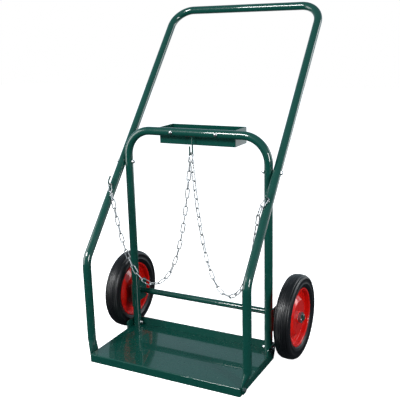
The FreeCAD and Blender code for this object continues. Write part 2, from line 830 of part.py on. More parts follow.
def chain_joints(side):
    """Points where the links of one chain meet, from its side hook to the centre hook."""
    between = size("link_pitch") - size("link_gap")
    at_hook = between + (size("link_wire") + size("link_gap")) / 2
    rest = (size("hook_rod") + size("link_wire")) / 2 + size("seat_gap")
    name = "right" if side > 0 else "left"
    first = hang_direction(side, size(name + "_first_in"), size(name + "_first_forward"))
    second = hang_direction(side, size(name + "_second_in"), size(name + "_second_forward"))
    last = hang_direction(-side, size("top_lean_in"), size("top_lean_forward"))
    slant = math.radians(size("lean_angle") - size(name + "_first_forward"))
    points = [side_pivot(side) - first * (rest / math.cos(slant))]
    points.append(points[0] + first * at_hook)
    points.append(points[1] + second * between)
    end = center_pivot(side) - last * rest
    below = end + last * at_hook
    level = FreeCAD.Vector(below.x - points[-1].x, below.y - points[-1].y, 0)
    span = level.Length
    level.normalize()
    lengths = [between] * (int(size("chain_links")) - len(points))
    for length, (across, up) in zip(lengths, hang_run(lengths, span, below.z - points[-1].z)):
        points.append(points[-1] + level * (length * across) + FreeCAD.Vector(0, 0, length * up))
    points.append(end)
    return points


def chain_shape(side):
    """All links of one chain, each turned about a quarter against the last."""
    points = chain_joints(side)
    link = chain_link()
    count = len(points) - 1
    half = (size("link_pitch") + size("link_wire")) / 2
    quarter_turns = 90.0 * (count // 2 * 2)
    step = (quarter_turns + size("last_roll") - size("first_roll")) / (count - 1)
    links = []
    for index in range(count):
        first = points[index]
        second = points[index + 1]
        along = (second - first).normalize()
        middle = (first + second) / 2
        if index == 0:
            middle = first + along * half
        elif index == count - 1:
            middle = second - along * half
        normal = along.cross(FreeCAD.Vector(0, 1, 0)).normalize()
        face = normal.cross(along)
        frame = FreeCAD.Matrix(along.x, normal.x, -face.x, middle.x,
                               along.y, normal.y, -face.y, middle.y,
                               along.z, normal.z, -face.z, middle.z,
                               0, 0, 0, 1)
        piece = link.copy()
        piece.rotate(FreeCAD.Vector(), FreeCAD.Vector(1, 0, 0),
                     side * (size("first_roll") + step * index))
        piece.Placement = FreeCAD.Placement(frame).multiply(piece.Placement)
        links.append(piece)
    return Part.Compound(links)


# wheel brackets and axle

def build_bracket(label, side):
    """Bracket plate: wraps the front quarter of an upright and runs back past the axle."""
    body = new_body(label)
    inner = "(%s + bracket_fit)" % TUBE_R
    outer = "(%s + bracket_fit + bracket_sheet)" % TUBE_R
    sketch = new_sketch(body, label + "_plan", "XY_Plane", AXLE_Z + " - bracket_height / 2")
    flip = "" if side > 0 else "-"
    wrap = "bracket_wrap * 1 deg"

    def across(text):
        return "%s(%s)" % (flip, text)
    outside = add_outline(sketch, [(across("%s + %s" % (HALF, outer)), "0"),
                                   (across("%s + %s" % (HALF, outer)), "bracket_back"),
                                   (across("%s + %s" % (HALF, inner)), "bracket_back"),
                                   (across("%s + %s" % (HALF, inner)), "0")], closed=False)
    tip_inner = (across("%s - %s * sin(%s)" % (HALF, inner, wrap)), "-%s * cos(%s)" % (inner, wrap))
    tip_outer = (across("%s - %s * sin(%s)" % (HALF, outer, wrap)), "-%s * cos(%s)" % (outer, wrap))
    tip = add_outline(sketch, [tip_inner, tip_outer], closed=False)[0]
    angle = math.radians(90 + size("bracket_wrap"))
    if side > 0:
        add_arc(sketch, (HALF, "0"), inner, -angle, 0, 1, 2, (tip, 1), (outside[-1], 2))
        add_arc(sketch, (HALF, "0"), outer, -angle, 0, 1, 2, (tip, 2), (outside[0], 1))
    else:
        add_arc(sketch, ("-" + HALF, "0"), inner, math.pi, math.pi + angle, 1, 2,
                (outside[-1], 2), (tip, 1))
        add_arc(sketch, ("-" + HALF, "0"), outer, math.pi, math.pi + angle, 1, 2,
                (outside[0], 1), (tip, 2))
    pad(body, label + "_plate", sketch, "bracket_height")
    doc.recompute()
    hole = new_sketch(body, label + "_hole_sketch", "YZ_Plane")
    add_circle(hole, "axle_back", AXLE_Z, "axle_dia / 2 + axle_fit")
    doc.recompute()
    pocket(body, label + "_hole", hole, "upright_spacing * 2", symmetric=True)
    doc.recompute()
    back = size("bracket_back")

    def rear_corner(middle, along):
        return close(middle.y, back) and abs(along.x) > abs(along.z)
    fillet(body, label + "_corners", "bracket_round", edges_where(body, rear_corner))
    return body


def build_axle():
    """Axle bar through both brackets and both wheels, cross-drilled for the pins."""
    body = new_body("axle")
    section = new_sketch(body, "axle_section", "YZ_Plane")
    add_circle(section, "axle_back", AXLE_Z, "axle_dia / 2")
    pad(body, "axle_bar", section, AXLE_HALF + " * 2", symmetric=True)
    doc.recompute()
    pins = new_sketch(body, "axle_pin_sketch", "XZ_Plane")
    for side in ("-", ""):
        add_circle(pins, side + PIN_X, AXLE_Z, "pin_dia / 2 + bolt_clearance")
    doc.recompute()
    pocket(body, "axle_pin_holes", pins, "(axle_back + axle_dia) * 2", symmetric=True)
    doc.recompute()
    ends = []
    for index, edge in enumerate(body.Shape.Edges, start=1):
        if close(edge.Length, math.pi * size("axle_dia")) and len(edge.Vertexes) == 1:
            ends.append("Edge%d" % index)
    shape_before = body.Tip
    feature = body.newObject("PartDesign::Chamfer", "axle_chamfers")
    feature.Base = (shape_before, ends)
    bind(feature, "Size", "axle_chamfer")
    return body


# wheels: each piece is drawn about its own axis, X outwards from the wheel's middle plane

def set_on_axle(item, side):
    """Put a wheel piece on the axle; the left wheel is turned end for end."""
    where = RIGHT_WHEEL_X if side > 0 else "-" + LEFT_WHEEL_X
    turn = 0 if side > 0 else 180
    item.Placement = FreeCAD.Placement(
        FreeCAD.Vector(number(where), size("axle_back"), size("tyre_dia") / 2),
        FreeCAD.Rotation(FreeCAD.Vector(0, 0, 1), turn))
    bind(item, "Placement.Base.x", where)
    bind(item, "Placement.Base.y", "axle_back")
    bind(item, "Placement.Base.z", AXLE_Z)
    return item


def build_tyre(label, side):
    """Solid rubber tyre: beads between the rim lips, flat sides, round shoulders, fine grooves."""
    body = new_body(label)
    sketch = new_sketch(body, label + "_section", "XY_Plane")
    half = "(tyre_width / 2)"
    bead = "(rim_half_width - rim_sheet - bead_fit)"
    low = "(tyre_inner_dia / 2)"
    high = "(tyre_dia / 2)"
    lip = "(rim_lip_dia / 2 + bead_fit)"
    edge = "(tyre_width / 2 - tyre_shoulder)"
    wall_top = "(%s - tyre_shoulder)" % high
    wall_low = "(%s + %s - %s)" % (lip, half, bead)
    lines = add_outline(sketch, [
        ("-" + half, wall_top), ("-" + half, wall_low), ("-" + bead, lip),
        ("-" + bead, low + " + bead_chamfer"), ("-(%s - bead_chamfer)" % bead, low),
        (bead + " - bead_chamfer", low), (bead, low + " + bead_chamfer"), (bead, lip),
        (half, wall_low), (half, wall_top)], closed=False)
    tread = add_outline(sketch, [("-" + edge, high), (edge, high)], closed=False)[0]
    add_arc(sketch, ("-" + edge, wall_top), "tyre_shoulder", math.pi / 2, math.pi, 1, 2,
            (tread, 1), (lines[0], 1))
    add_arc(sketch, (edge, wall_top), "tyre_shoulder", 0, math.pi / 2, 1, 2,
            (lines[-1], 2), (tread, 2))
    revolve(body, label + "_ring", sketch)
    doc.recompute()
    grooves = new_sketch(body, label + "_groove_sketch", "XY_Plane")
    steps = int(size("tyre_width") / 2 / size("tyre_rib_pitch"))
    for sign in ("", "-"):
        for index in range(steps - 1):
            place = "(tyre_rib_pitch * %.1f)" % (index + 0.5)
            over = "max(%s - %s; 0)" % (place, edge)
            floor = "%s + sqrt(tyre_shoulder^2 - %s^2) - tyre_rib_depth" % (wall_top, over)
            left = "%s%s - tyre_groove / 2" % (sign, place)
            right = "%s%s + tyre_groove / 2" % (sign, place)
            add_rectangle(grooves, left, right, floor, high + " + tyre_rib_depth")
    doc.recompute()
    revolve(body, label + "_grooves", grooves, "Groove")
    return set_on_axle(body, side)


def pressed_disc(inner):
    """Half of a pressed rim: lip, bead seat, well, raised middle and hub hole."""
    sheet = size("rim_sheet")
    lip = size("rim_lip_dia") / 2
    seat = size("tyre_inner_dia") / 2 - size("bead_fit")
    half = size("rim_half_width")
    well = size("rim_well_dia") / 2
    crown = size("rim_crown_dia") / 2
    height = size("rim_crown_height") - sheet
    web = size("rim_web_offset")
    hub = number("hub_dia / 2 + hub_fit")

    def at(x, radius):
        return FreeCAD.Vector(x, radius, 0)
    corners = [at(half - sheet, lip), at(half - sheet, seat), at(web, seat), at(web, well),
               at(height, crown), at(height, hub)]
    radii = [size("rim_lip_bend"), size("rim_seat_bend"), size("rim_well_bend"),
             size("rim_crown_bend")]
    path = bent_path(corners, radii)
    section = path.makeOffset2D(sheet, 0, True, True, False)
    if section.BoundBox.XMax < half - sheet / 2:
        section = path.makeOffset2D(-sheet, 0, True, True, False)
    ring = section.revolve(FreeCAD.Vector(), FreeCAD.Vector(1, 0, 0), 360)
    solid = Part.Solid(ring.Shells[0]) if not ring.Solids else ring.Solids[0]
    if inner:
        solid = solid.mirror(FreeCAD.Vector(), FreeCAD.Vector(1, 0, 0))
    return solid


def build_rim(label, side, inner):
    """Pressed rim half, outer or inner."""
    return set_on_axle(feature_of(label, pressed_disc(inner)), side)


def build_hub(label, side):
    """Hub tube, longer on the inboard side."""
    body = new_body(label)
    sketch = new_sketch(body, label + "_section", "XY_Plane")
    add_rectangle(sketch, "-hub_inboard", "hub_outboard", "bush_dia / 2 + hub_fit", "hub_dia / 2")
    revolve(body, label + "_tube", sketch)
    return set_on_axle(body, side)


def build_bushes(label, side):
    """Two plain bushes, one pressed into each end of the hub tube."""
    rings = []
    for name, start in (("outboard", "hub_outboard - bush_length"), ("inboard", "-hub_inboard")):
        tube = doc.addObject("Part::Cylinder", "%s_%s_outside" % (label, name))
        bind(tube, "Radius", "bush_dia / 2")
        bore = doc.addObject("Part::Cylinder", "%s_%s_bore" % (label, name))
        bind(bore, "Radius", "axle_dia / 2 + axle_fit")
        for part in (tube, bore):
            bind(part, "Height", "bush_length")
            part.Placement = FreeCAD.Placement(
                FreeCAD.Vector(), FreeCAD.Rotation(FreeCAD.Vector(0, 1, 0), 90))
            bind(part, "Placement.Base.x", start)
        ring = doc.addObject("Part::Cut", "%s_%s" % (label, name))
        ring.Base = tube
        ring.Tool = bore
        rings.append(ring)
    pair = doc.addObject("Part::Compound", label)
    pair.Links = rings
    pair.Label = label
    return set_on_axle(pair, side)


# fasteners: pairs of identical pieces, one on each side of the cart

def turned_cylinder(name, radius, height, start, direction):
    """Cylinder along +X or -X (direction 1 or -1) or +Y (direction 0) from a bound start point."""
    item = doc.addObject("Part::Cylinder", name)
    bind(item, "Radius", radius)
    bind(item, "Height", height)
    aim(item, start, direction)
    return item


def turned_hexagon(name, flats, height, start, direction):
    """Hexagonal prism along +X or -X or +Y from a bound start point."""
    item = doc.addObject("Part::Prism", name)
    item.Polygon = 6
    bind(item, "Circumradius", "(%s) / 2 / cos(30 deg)" % flats)
    bind(item, "Height", height)
    aim(item, start, direction)
    return item


def aim(item, start, direction):
    """Turn a primitive's own Z axis to +X, -X or +Y and bind its start point."""
    if direction == 0:
        turn = FreeCAD.Rotation(FreeCAD.Vector(1, 0, 0), -90)
    else:
        turn = FreeCAD.Rotation(FreeCAD.Vector(0, 1, 0), 90 * direction)
    item.Placement = FreeCAD.Placement(FreeCAD.Vector(), turn)
    for axis, text in zip("xyz", start):
        bind(item, "Placement.Base." + axis, text)


def joined(name, pieces):
    """Fuse of several primitives."""
    item = doc.addObject("Part::MultiFuse", name)
    item.Shapes = pieces
    return item


def grouped(label, pieces):
    """Compound of separate solids under one label."""
    item = doc.addObject("Part::Compound", label)
    item.Links = pieces
    item.Label = label
    return item


def build_cross_bolts(bolt_label, nut_label, head_x, nut_x, across_y, up_z):
    """Hexagon bolts along X, head outside and lock nut inside, on both sides of the cart.

    head_x is where the head bears, nut_x where the nut bears, both measured from the middle."""
    bolts = []
    nuts = []
    for side, sign, tag in ((1, "", "right"), (-1, "-", "left")):
        head = turned_hexagon("%s_%s_head" % (bolt_label, tag), "bolt_head_flats",
                              "bolt_head_height", (sign + head_x, across_y, up_z), side)
        length = "%s - %s + nut_height + bolt_spare" % (head_x, nut_x)
        tip = "%s(%s - nut_height - bolt_spare)" % (sign, nut_x)
        shank = turned_cylinder("%s_%s_shank" % (bolt_label, tag), "bolt_dia / 2", length,
                                (tip, across_y, up_z), side)
        bolts.append(joined("%s_%s" % (bolt_label, tag), [head, shank]))
        block = turned_hexagon("%s_%s_block" % (nut_label, tag), "bolt_head_flats", "nut_height",
                               (sign + nut_x, across_y, up_z), -side)
        bore = turned_cylinder("%s_%s_bore" % (nut_label, tag), "bolt_dia / 2", "nut_height",
                               (sign + nut_x, across_y, up_z), -side)
        nut = doc.addObject("Part::Cut", "%s_%s" % (nut_label, tag))
        nut.Base = block
        nut.Tool = bore
        nuts.append(nut)
    return [grouped(bolt_label, bolts), grouped(nut_label, nuts)]


def build_tray_screws():
    """Two dome-head screws through the top bar and the tray's front wall, and their nuts."""
    screws = []
    nuts = []
    bearing = "(tube_dia / 2 + base_fit + tray_sheet)"
    for sign, tag in (("", "right"), ("-", "left")):
        at_x = sign + "tray_screw_spacing / 2"
        start = (at_x, "-" + TUBE_R, "upright_height")
        dome = doc.addObject("Part::Sphere", "tray_screw_%s_dome" % tag)
        radius = "((tray_screw_head / 2)^2 + tray_screw_dome^2) / (2 * tray_screw_dome)"
        bind(dome, "Radius", radius)
        aim(dome, (at_x, "-%s + %s - tray_screw_dome" % (TUBE_R, radius), "upright_height"), 0)
        front = turned_cylinder("tray_screw_%s_front" % tag, "tray_screw_head / 2",
                                "tray_screw_dome",
                                (at_x, "-%s - tray_screw_dome" % TUBE_R, "upright_height"), 0)
        head = doc.addObject("Part::Common", "tray_screw_%s_head" % tag)
        head.Base = dome
        head.Tool = front
        length = "%s + %s + nut_height + bolt_spare" % (TUBE_R, bearing)
        shank = turned_cylinder("tray_screw_%s_shank" % tag, "bolt_dia / 2", length, start, 0)
        screws.append(joined("tray_screw_" + tag, [head, shank]))
        block = turned_hexagon("tray_nut_%s_block" % tag, "bolt_head_flats", "nut_height",
                               (at_x, bearing, "upright_height"), 0)
        bore = turned_cylinder("tray_nut_%s_bore" % tag, "bolt_dia / 2", "nut_height",
                               (at_x, bearing, "upright_height"), 0)
        nut = doc.addObject("Part::Cut", "tray_nut_" + tag)
        nut.Base = block
        nut.Tool = bore
        nuts.append(nut)
    return [grouped("tray_screws", screws), grouped("tray_nuts", nuts)]


def build_wheel_washers():
    """Two plain washers between the hubs and the pins."""
    rings = []
    for side, sign, tag in ((1, "", "right"), (-1, "-", "left")):
        start = (sign + WASHER_X, "axle_back", AXLE_Z)
        disc = turned_cylinder("wheel_washer_%s_disc" % tag, "washer_dia / 2", "washer_thickness",
                               start, -side)
        bore = turned_cylinder("wheel_washer_%s_bore" % tag, "axle_dia / 2 + axle_fit",
                               "washer_thickness", start, -side)
        ring = doc.addObject("Part::Cut", "wheel_washer_" + tag)
        ring.Base = disc
        ring.Tool = bore
        rings.append(ring)
    return grouped("wheel_washers", rings)


def split_pin():
    """Split pin along Y about the origin: eye at the front, two spread legs at the back."""
    radius = size("pin_dia") / 2
    reach = size("axle_dia") / 2 + size("bolt_clearance")
    eye_wire = radius * PIN_WIRE_SHARE
    eye = size("pin_eye") / 2 + eye_wire
    head = reach + radius
    shank = Part.makeCylinder(radius, head + reach, FreeCAD.Vector(0, -head, 0),
                              FreeCAD.Vector(0, 1, 0))
    ring = Part.makeTorus(eye, eye_wire, FreeCAD.Vector(0, -reach - eye_wire - eye, 0),
                          FreeCAD.Vector(1, 0, 0))
    pieces = [ring]
    for turn in (-1, 1):
        spread = math.radians(turn * size("pin_spread"))
        along = FreeCAD.Vector(0, math.cos(spread), math.sin(spread))
        start = FreeCAD.Vector(0, reach - size("base_fit"), turn * (radius - eye_wire))
        pieces.append(Part.makeCylinder(eye_wire, size("pin_leg"), start, along))
    return shank.multiFuse(pieces)


def build_split_pins():
    """One split pin through each end of the axle."""
    pins = []
    for side in (1, -1):
        pin = split_pin()
        pin.translate(FreeCAD.Vector(side * number(PIN_X), size("axle_back"), size("tyre_dia") / 2))
        pins.append(pin)
    return feature_of("split_pins", Part.Compound(pins))


def build_all():
    """Every sub-part of the cart, in the order of assembly."""
    parts = [build_upright_frame(), build_base_pan(), build_handle()]
    leg = build_front_leg()
    parts.append(feature_of("front_leg_right", leg))
    parts.append(feature_of("front_leg_left", mirrored(leg)))
    parts.append(build_tool_tray())
    parts += build_tray_screws()
    parts += build_cross_bolts("handle_bolts", "handle_nuts", OUTER_X, INNER_X,
                               "0", "cross_height")
    parts += build_cross_bolts("foot_bolts", "foot_nuts", PAN_X, INNER_X, "0", FOOT_BOLT_Z)
    parts += build_cross_bolts("leg_bolts", "leg_nuts", "(%s + %s)" % (FLAT_X, FLAT_HALF),
                               "(%s - base_sheet)" % PAN_X, LUG_Y, "leg_bolt_height")
    hook = build_side_hook()
    parts.append(feature_of("side_hook_right", hook))
    parts.append(feature_of("side_hook_left", mirrored(hook)))
    parts.append(feature_of("center_hook", build_center_hook()))
    for side, tag in ((1, "right"), (-1, "left")):
        parts.append(build_bracket("wheel_bracket_" + tag, side))
    parts.append(build_axle())
    for side, tag in ((1, "right"), (-1, "left")):
        parts.append(build_tyre("tyre_" + tag, side))
        parts.append(build_rim("rim_outer_" + tag, side, False))
        parts.append(build_rim("rim_inner_" + tag, side, True))
        parts.append(build_hub("hub_" + tag, side))
        parts.append(build_bushes("hub_bushes_" + tag, side))
        parts.append(feature_of("chain_" + tag, chain_shape(side)))
    parts.append(build_wheel_washers())
    parts.append(build_split_pins())
    return parts


def check_and_write(parts):
    """Stop on any failed object or bad shape, then write one file for each sub-part."""
    doc.recompute()
    for item in doc.Objects:
        for state in item.State:
            if state in ("Invalid", "Error"):
                raise RuntimeError("%s is %s" % (item.Name, state))
    for item in parts:
        if item.Shape.isNull() or not item.Shape.isValid():
            raise RuntimeError("bad shape in " + item.Label)
    os.makedirs("parts", exist_ok=True)
    for item in parts:
        item.Shape.exportStep(os.path.join("parts", item.Label + ".step"))
        print("%-22s solids %3d  volume %10.1f" % (item.Label, len(item.Shape.Solids),
                                                   item.Shape.Volume))


check_and_write(build_all())
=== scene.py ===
"""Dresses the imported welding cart: enamel, rubber, zinc and the details that its solids leave out.

Metres, in the cart's own frame: X to the right as seen from the front, Y backwards, Z up.
"""

import logging
import math
from dataclasses import dataclass, field
from enum import Enum
from typing import Any, Callable, Iterable, Sequence

import bmesh
import bpy
import numpy as np
from mathutils import Matrix, Vector


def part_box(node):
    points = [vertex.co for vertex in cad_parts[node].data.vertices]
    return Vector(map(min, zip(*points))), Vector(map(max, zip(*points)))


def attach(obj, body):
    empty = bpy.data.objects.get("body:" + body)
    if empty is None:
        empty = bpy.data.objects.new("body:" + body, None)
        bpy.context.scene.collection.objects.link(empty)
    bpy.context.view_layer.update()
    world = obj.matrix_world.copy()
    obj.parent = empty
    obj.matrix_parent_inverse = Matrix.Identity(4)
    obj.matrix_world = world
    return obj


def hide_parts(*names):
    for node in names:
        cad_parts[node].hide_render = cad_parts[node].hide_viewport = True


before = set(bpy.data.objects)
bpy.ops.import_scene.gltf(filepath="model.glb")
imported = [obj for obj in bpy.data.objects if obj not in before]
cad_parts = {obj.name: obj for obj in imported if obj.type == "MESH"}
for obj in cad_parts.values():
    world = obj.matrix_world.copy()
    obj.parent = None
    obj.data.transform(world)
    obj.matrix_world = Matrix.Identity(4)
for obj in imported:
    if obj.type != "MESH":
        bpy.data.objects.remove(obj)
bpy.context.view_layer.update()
LOG = logging.getLogger("cart")
MM = 0.001
Point = tuple[float, float, float]
Profile = list[tuple[float, float]]


class Side(Enum):
    """The two sides of the cart, as seen from its front."""

    LEFT = -1
    RIGHT = 1

    @property
    def tag(self) -> str:
        """Word that ends the names of this side's nodes."""
        return self.name.lower()


class Drive(Enum):
    """Shapes of the fasteners' heads."""

    HEXAGON = "hexagon"
    DOME = "dome"


# colour, nodes and meshes

def linear(hex_colour: str) -> tuple[float, float, float, float]:
    """Turn an sRGB hex colour into linear RGBA.

    Args:
        hex_colour: Six hex digits, with a leading hash.

    Returns:
        Linear red, green, blue and an alpha of 1.
    """
    channels = [int(hex_colour[i:i + 2], 16) / 255 for i in (1, 3, 5)]
    straight = [c / 12.92 if c <= 0.04045 else ((c + 0.055) / 1.055) ** 2.4 for c in channels]
    return (straight[0], straight[1], straight[2], 1.0)


def put(tree: bpy.types.NodeTree, kind: str, sockets: dict[Any, Any] | None = None,
        **settings: Any) -> bpy.types.Node:
    """Add a node with its settings, values and links.

    Args:
        tree: Node tree that takes the node.
        kind: Blender's type name of the node.
        sockets: Input name or number, with a value or an output socket to link.
        settings: Properties of the node itself.

    Returns:
        The new node.
    """
    made = tree.nodes.new(kind)
    for name, value in settings.items():
        setattr(made, name, value)
    for name, value in (sockets or {}).items():
        if isinstance(value, bpy.types.NodeSocket):
            tree.links.new(value, made.inputs[name])
        else:
            made.inputs[name].default_value = value
    return made


def new_material(name: str) -> tuple[bpy.types.Material, bpy.types.NodeTree]:
    """Make an empty node material.

    Args:
        name: Name of the finish.

    Returns:
        The material and its cleared node tree.
    """
    made = bpy.data.materials.new(name)
    made.use_nodes = True
    made.node_tree.nodes.clear()
    return made, made.node_tree


def finish_with(tree: bpy.types.NodeTree, shader: bpy.types.NodeSocket) -> None:
    """Link a shader to the material's output."""
    put(tree, "ShaderNodeOutputMaterial", {"Surface": shader})


def noise(tree: bpy.types.NodeTree, size_mm: float,
          detail: float = 2.0) -> bpy.types.NodeSocket:
    """Noise in the object's own space.

    Args:
        tree: Node tree that takes the nodes.
        size_mm: Size of one patch in millimetres.
        detail: Octaves of finer noise.

    Returns:
        The noise's factor, from 0 to 1.
    """
    place = put(tree, "ShaderNodeTexCoord")
    cloud = put(tree, "ShaderNodeTexNoise", {"Vector": place.outputs["Object"],
                                             "Scale": 1.0 / (size_mm * MM), "Detail": detail})
    return cloud.outputs["Fac"]


def spread(tree: bpy.types.NodeTree, value: bpy.types.NodeSocket, low: float, high: float,
           start: float = 0.0, end: float = 1.0) -> bpy.types.NodeSocket:
    """Map a factor between start and end to a range, and hold it there."""
    ranged = put(tree, "ShaderNodeMapRange", {"Value": value, "From Min": start, "From Max": end,
                                              "To Min": low, "To Max": high}, clamp=True)
    return ranged.outputs["Result"]


def blended(tree: bpy.types.NodeTree, factor: bpy.types.NodeSocket, first: Any,
            second: Any) -> bpy.types.NodeSocket:
    """Mix two colours, given as RGBA values or sockets, by a factor."""
    # the node's two colours are its inputs 6 and 7, and the mixed colour is its output 2
    mix = put(tree, "ShaderNodeMix", {0: factor, 6: first, 7: second}, data_type="RGBA")
    return mix.outputs[2]


def bump(tree: bpy.types.NodeTree, height: bpy.types.NodeSocket, depth_mm: float,
         under: bpy.types.NodeSocket | None = None) -> bpy.types.NodeSocket:
    """Bump a surface by a height.

    Args:
        tree: Node tree that takes the node.
        height: Height from 0 to 1.
        depth_mm: Real depth of a height of 1, in millimetres.
        under: Normal of a coarser bump below this one.

    Returns:
        The bumped normal.
    """
    sockets: dict[Any, Any] = {"Height": height, "Distance": depth_mm * MM, "Strength": 1.0}
    if under is not None:
        sockets["Normal"] = under
    return put(tree, "ShaderNodeBump", sockets).outputs["Normal"]


def mesh_object(name: str, points: Sequence[Sequence[float]], faces: Sequence[Sequence[int]],
                material: bpy.types.Material, crease_deg: float = 35.0) -> bpy.types.Object:
    """Make a smooth-shaded mesh object with hard edges at sharp angles.

    Args:
        name: Name of the piece.
        points: Corners in metres.
        faces: Corner numbers of each face.
        material: Finish of the whole piece.
        crease_deg: Edges sharper than this stay hard.

    Returns:
        The new object, linked to the scene.
    """
    data = bpy.data.meshes.new(name)
    data.from_pydata([tuple(p) for p in points], [], [tuple(f) for f in faces])
    data.materials.append(material)
    shell = bmesh.new()
    shell.from_mesh(data)
    bmesh.ops.recalc_face_normals(shell, faces=shell.faces)
    for face in shell.faces:
        face.smooth = True
    for edge in shell.edges:
        if len(edge.link_faces) == 2:
            edge.smooth = edge.calc_face_angle() < math.radians(crease_deg)
    shell.to_mesh(data)
    shell.free()
    made = bpy.data.objects.new(name, data)
    bpy.context.scene.collection.objects.link(made)
    return made


@dataclass
class Shape:
    """Growing mesh of one piece."""

    points: list[Point] = field(default_factory=list)
    faces: list[tuple[int, ...]] = field(default_factory=list)

    def add(self, points: Iterable[Point], faces: Iterable[Sequence[int]]) -> None:
        """Append one closed shell to the mesh."""
        start = len(self.points)
        self.points.extend(points)
        self.faces.extend(tuple(i + start for i in face) for face in faces)

    def turned(self, profile: Profile, origin: Point, axis: Vector, steps: int,
               closed: bool = False) -> None:
        """Turn a profile of (along, radius) pairs about an axis.

        Args:
            profile: Distance along the axis and radius of each ring, in metres.
            origin: Point where the distance along the axis is 0.
            axis: Direction of the axis.
            steps: Number of points round each ring.
            closed: Join the last ring to the first, in place of two caps.
        """
        frame_of = axis.to_track_quat("X", "Z").to_matrix()
        rings = []
        points = []
        for along, radius in profile:
            rings.append(len(points))
            for i in range(steps):
                angle = 2 * math.pi * i / steps
                local = Vector((along, radius * math.cos(angle), radius * math.sin(angle)))
                points.append(tuple(frame_of @ local + Vector(origin)))
        faces: list[Sequence[int]] = []
        pairs = list(zip(rings, rings[1:]))
        if closed:
            pairs.append((rings[-1], rings[0]))
        for a, b in pairs:
            for i in range(steps):
                j = (i + 1) % steps
                faces.append((a + i, a + j, b + j, b + i))
        if not closed:
            faces.append(tuple(range(rings[0], rings[0] + steps)))
            faces.append(tuple(range(rings[-1], rings[-1] + steps)))
        self.add(points, faces)

    def swept(self, path: Sequence[Vector], radius: Callable[[float, float], float],
              steps: int = 12) -> None:
        """Sweep a lumpy round bar along a path.

        Args:
            path: Points of the middle line, in metres.
            radius: Radius from the share of the length and the angle round the line.
            steps: Number of points round each ring.
        """
        points = []
        count = len(path)
        across = Vector((0, 0, 1))
        for k, centre in enumerate(path):
            along = (path[min(k + 1, count - 1)] - path[max(k - 1, 0)]).normalized()
            if abs(along.dot(across)) > 0.9:
                across = Vector((1, 0, 0)) if abs(along.x) < 0.9 else Vector((0, 1, 0))
            side = along.cross(across).normalized()
            up = side.cross(along)
            across = up
            for i in range(steps):
                angle = 2 * math.pi * i / steps
                reach = radius(k / (count - 1), angle)
                points.append(tuple(centre + side * (reach * math.cos(angle))
                                    + up * (reach * math.sin(angle))))
        faces: list[Sequence[int]] = []
        for k in range(count - 1):
            for i in range(steps):
                j = (i + 1) % steps
                a = k * steps
                b = a + steps
                faces.append((a + i, a + j, b + j, b + i))
        faces.append(tuple(range(steps)))
        faces.append(tuple(range((count - 1) * steps, count * steps)))
        self.add(points, faces)

    def weld(self, path: Sequence[Vector], width_mm: float, ripple_mm: float = 1.6) -> None:
        """Lay a weld bead: a low rounded run with the ripples of a hand-held torch.

        Args:
            path: Evenly spaced points of the bead's root.
            width_mm: Width of the bead.
            ripple_mm: Distance between two ripples.
        """
        length = sum((b - a).length for a, b in zip(path, path[1:]))
        ripples = max(2.0, length / (ripple_mm * MM))
        half = width_mm * MM / 2

        def lumpy(share: float, angle: float) -> float:
            wave = 0.10 * math.sin(2 * math.pi * ripples * share)
            wander = 0.06 * math.sin(17.0 * share + 1.3) + 0.03 * math.sin(2 * angle)
            taper = min(1.0, 8 * share + 0.35, 8 * (1 - share) + 0.35)
            return half * (1 + wave + wander) * taper
        self.swept(path, lumpy, 10)

    def piece(self, name: str, material: bpy.types.Material, body: str, slot: str,
              replaces: Sequence[str] = (), crease_deg: float = 35.0) -> bpy.types.Object:
        """Turn the mesh into a piece that rides on a body.

        Args:
            name: Name of the piece.
            material: Its finish.
            body: Body that carries it.
            slot: The record's material slot; not used.
            replaces: CAD nodes that it stands for.
            crease_deg: Edges sharper than this stay hard.

        Returns:
            The new object.
        """
        made = mesh_object(name, self.points, self.faces, material, crease_deg)
        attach(made, body)
        if replaces:
            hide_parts(*replaces)
        return made


def line(start: Vector, end: Vector, step_mm: float = 0.4) -> list[Vector]:
    """Evenly spaced points from start to end."""
    count = max(2, int((end - start).length / (step_mm * MM)))
    return [start.lerp(end, i / count) for i in range(count + 1)]


def ring(centre: Vector, radius: float, normal: Vector, start_deg: float = 0.0,
         sweep_deg: float = 360.0, step_mm: float = 0.4) -> list[Vector]:
    """Evenly spaced points round an arc about a normal."""
    side = normal.orthogonal().normalized()
    up = normal.cross(side).normalized()
    count = max(8, int(radius * math.radians(sweep_deg) / (step_mm * MM)))
    turns = [math.radians(start_deg + sweep_deg * i / count) for i in range(count + 1)]
    return [centre + side * (radius * math.cos(a)) + up * (radius * math.sin(a)) for a in turns]


# finishes: each is named for what the real surface is

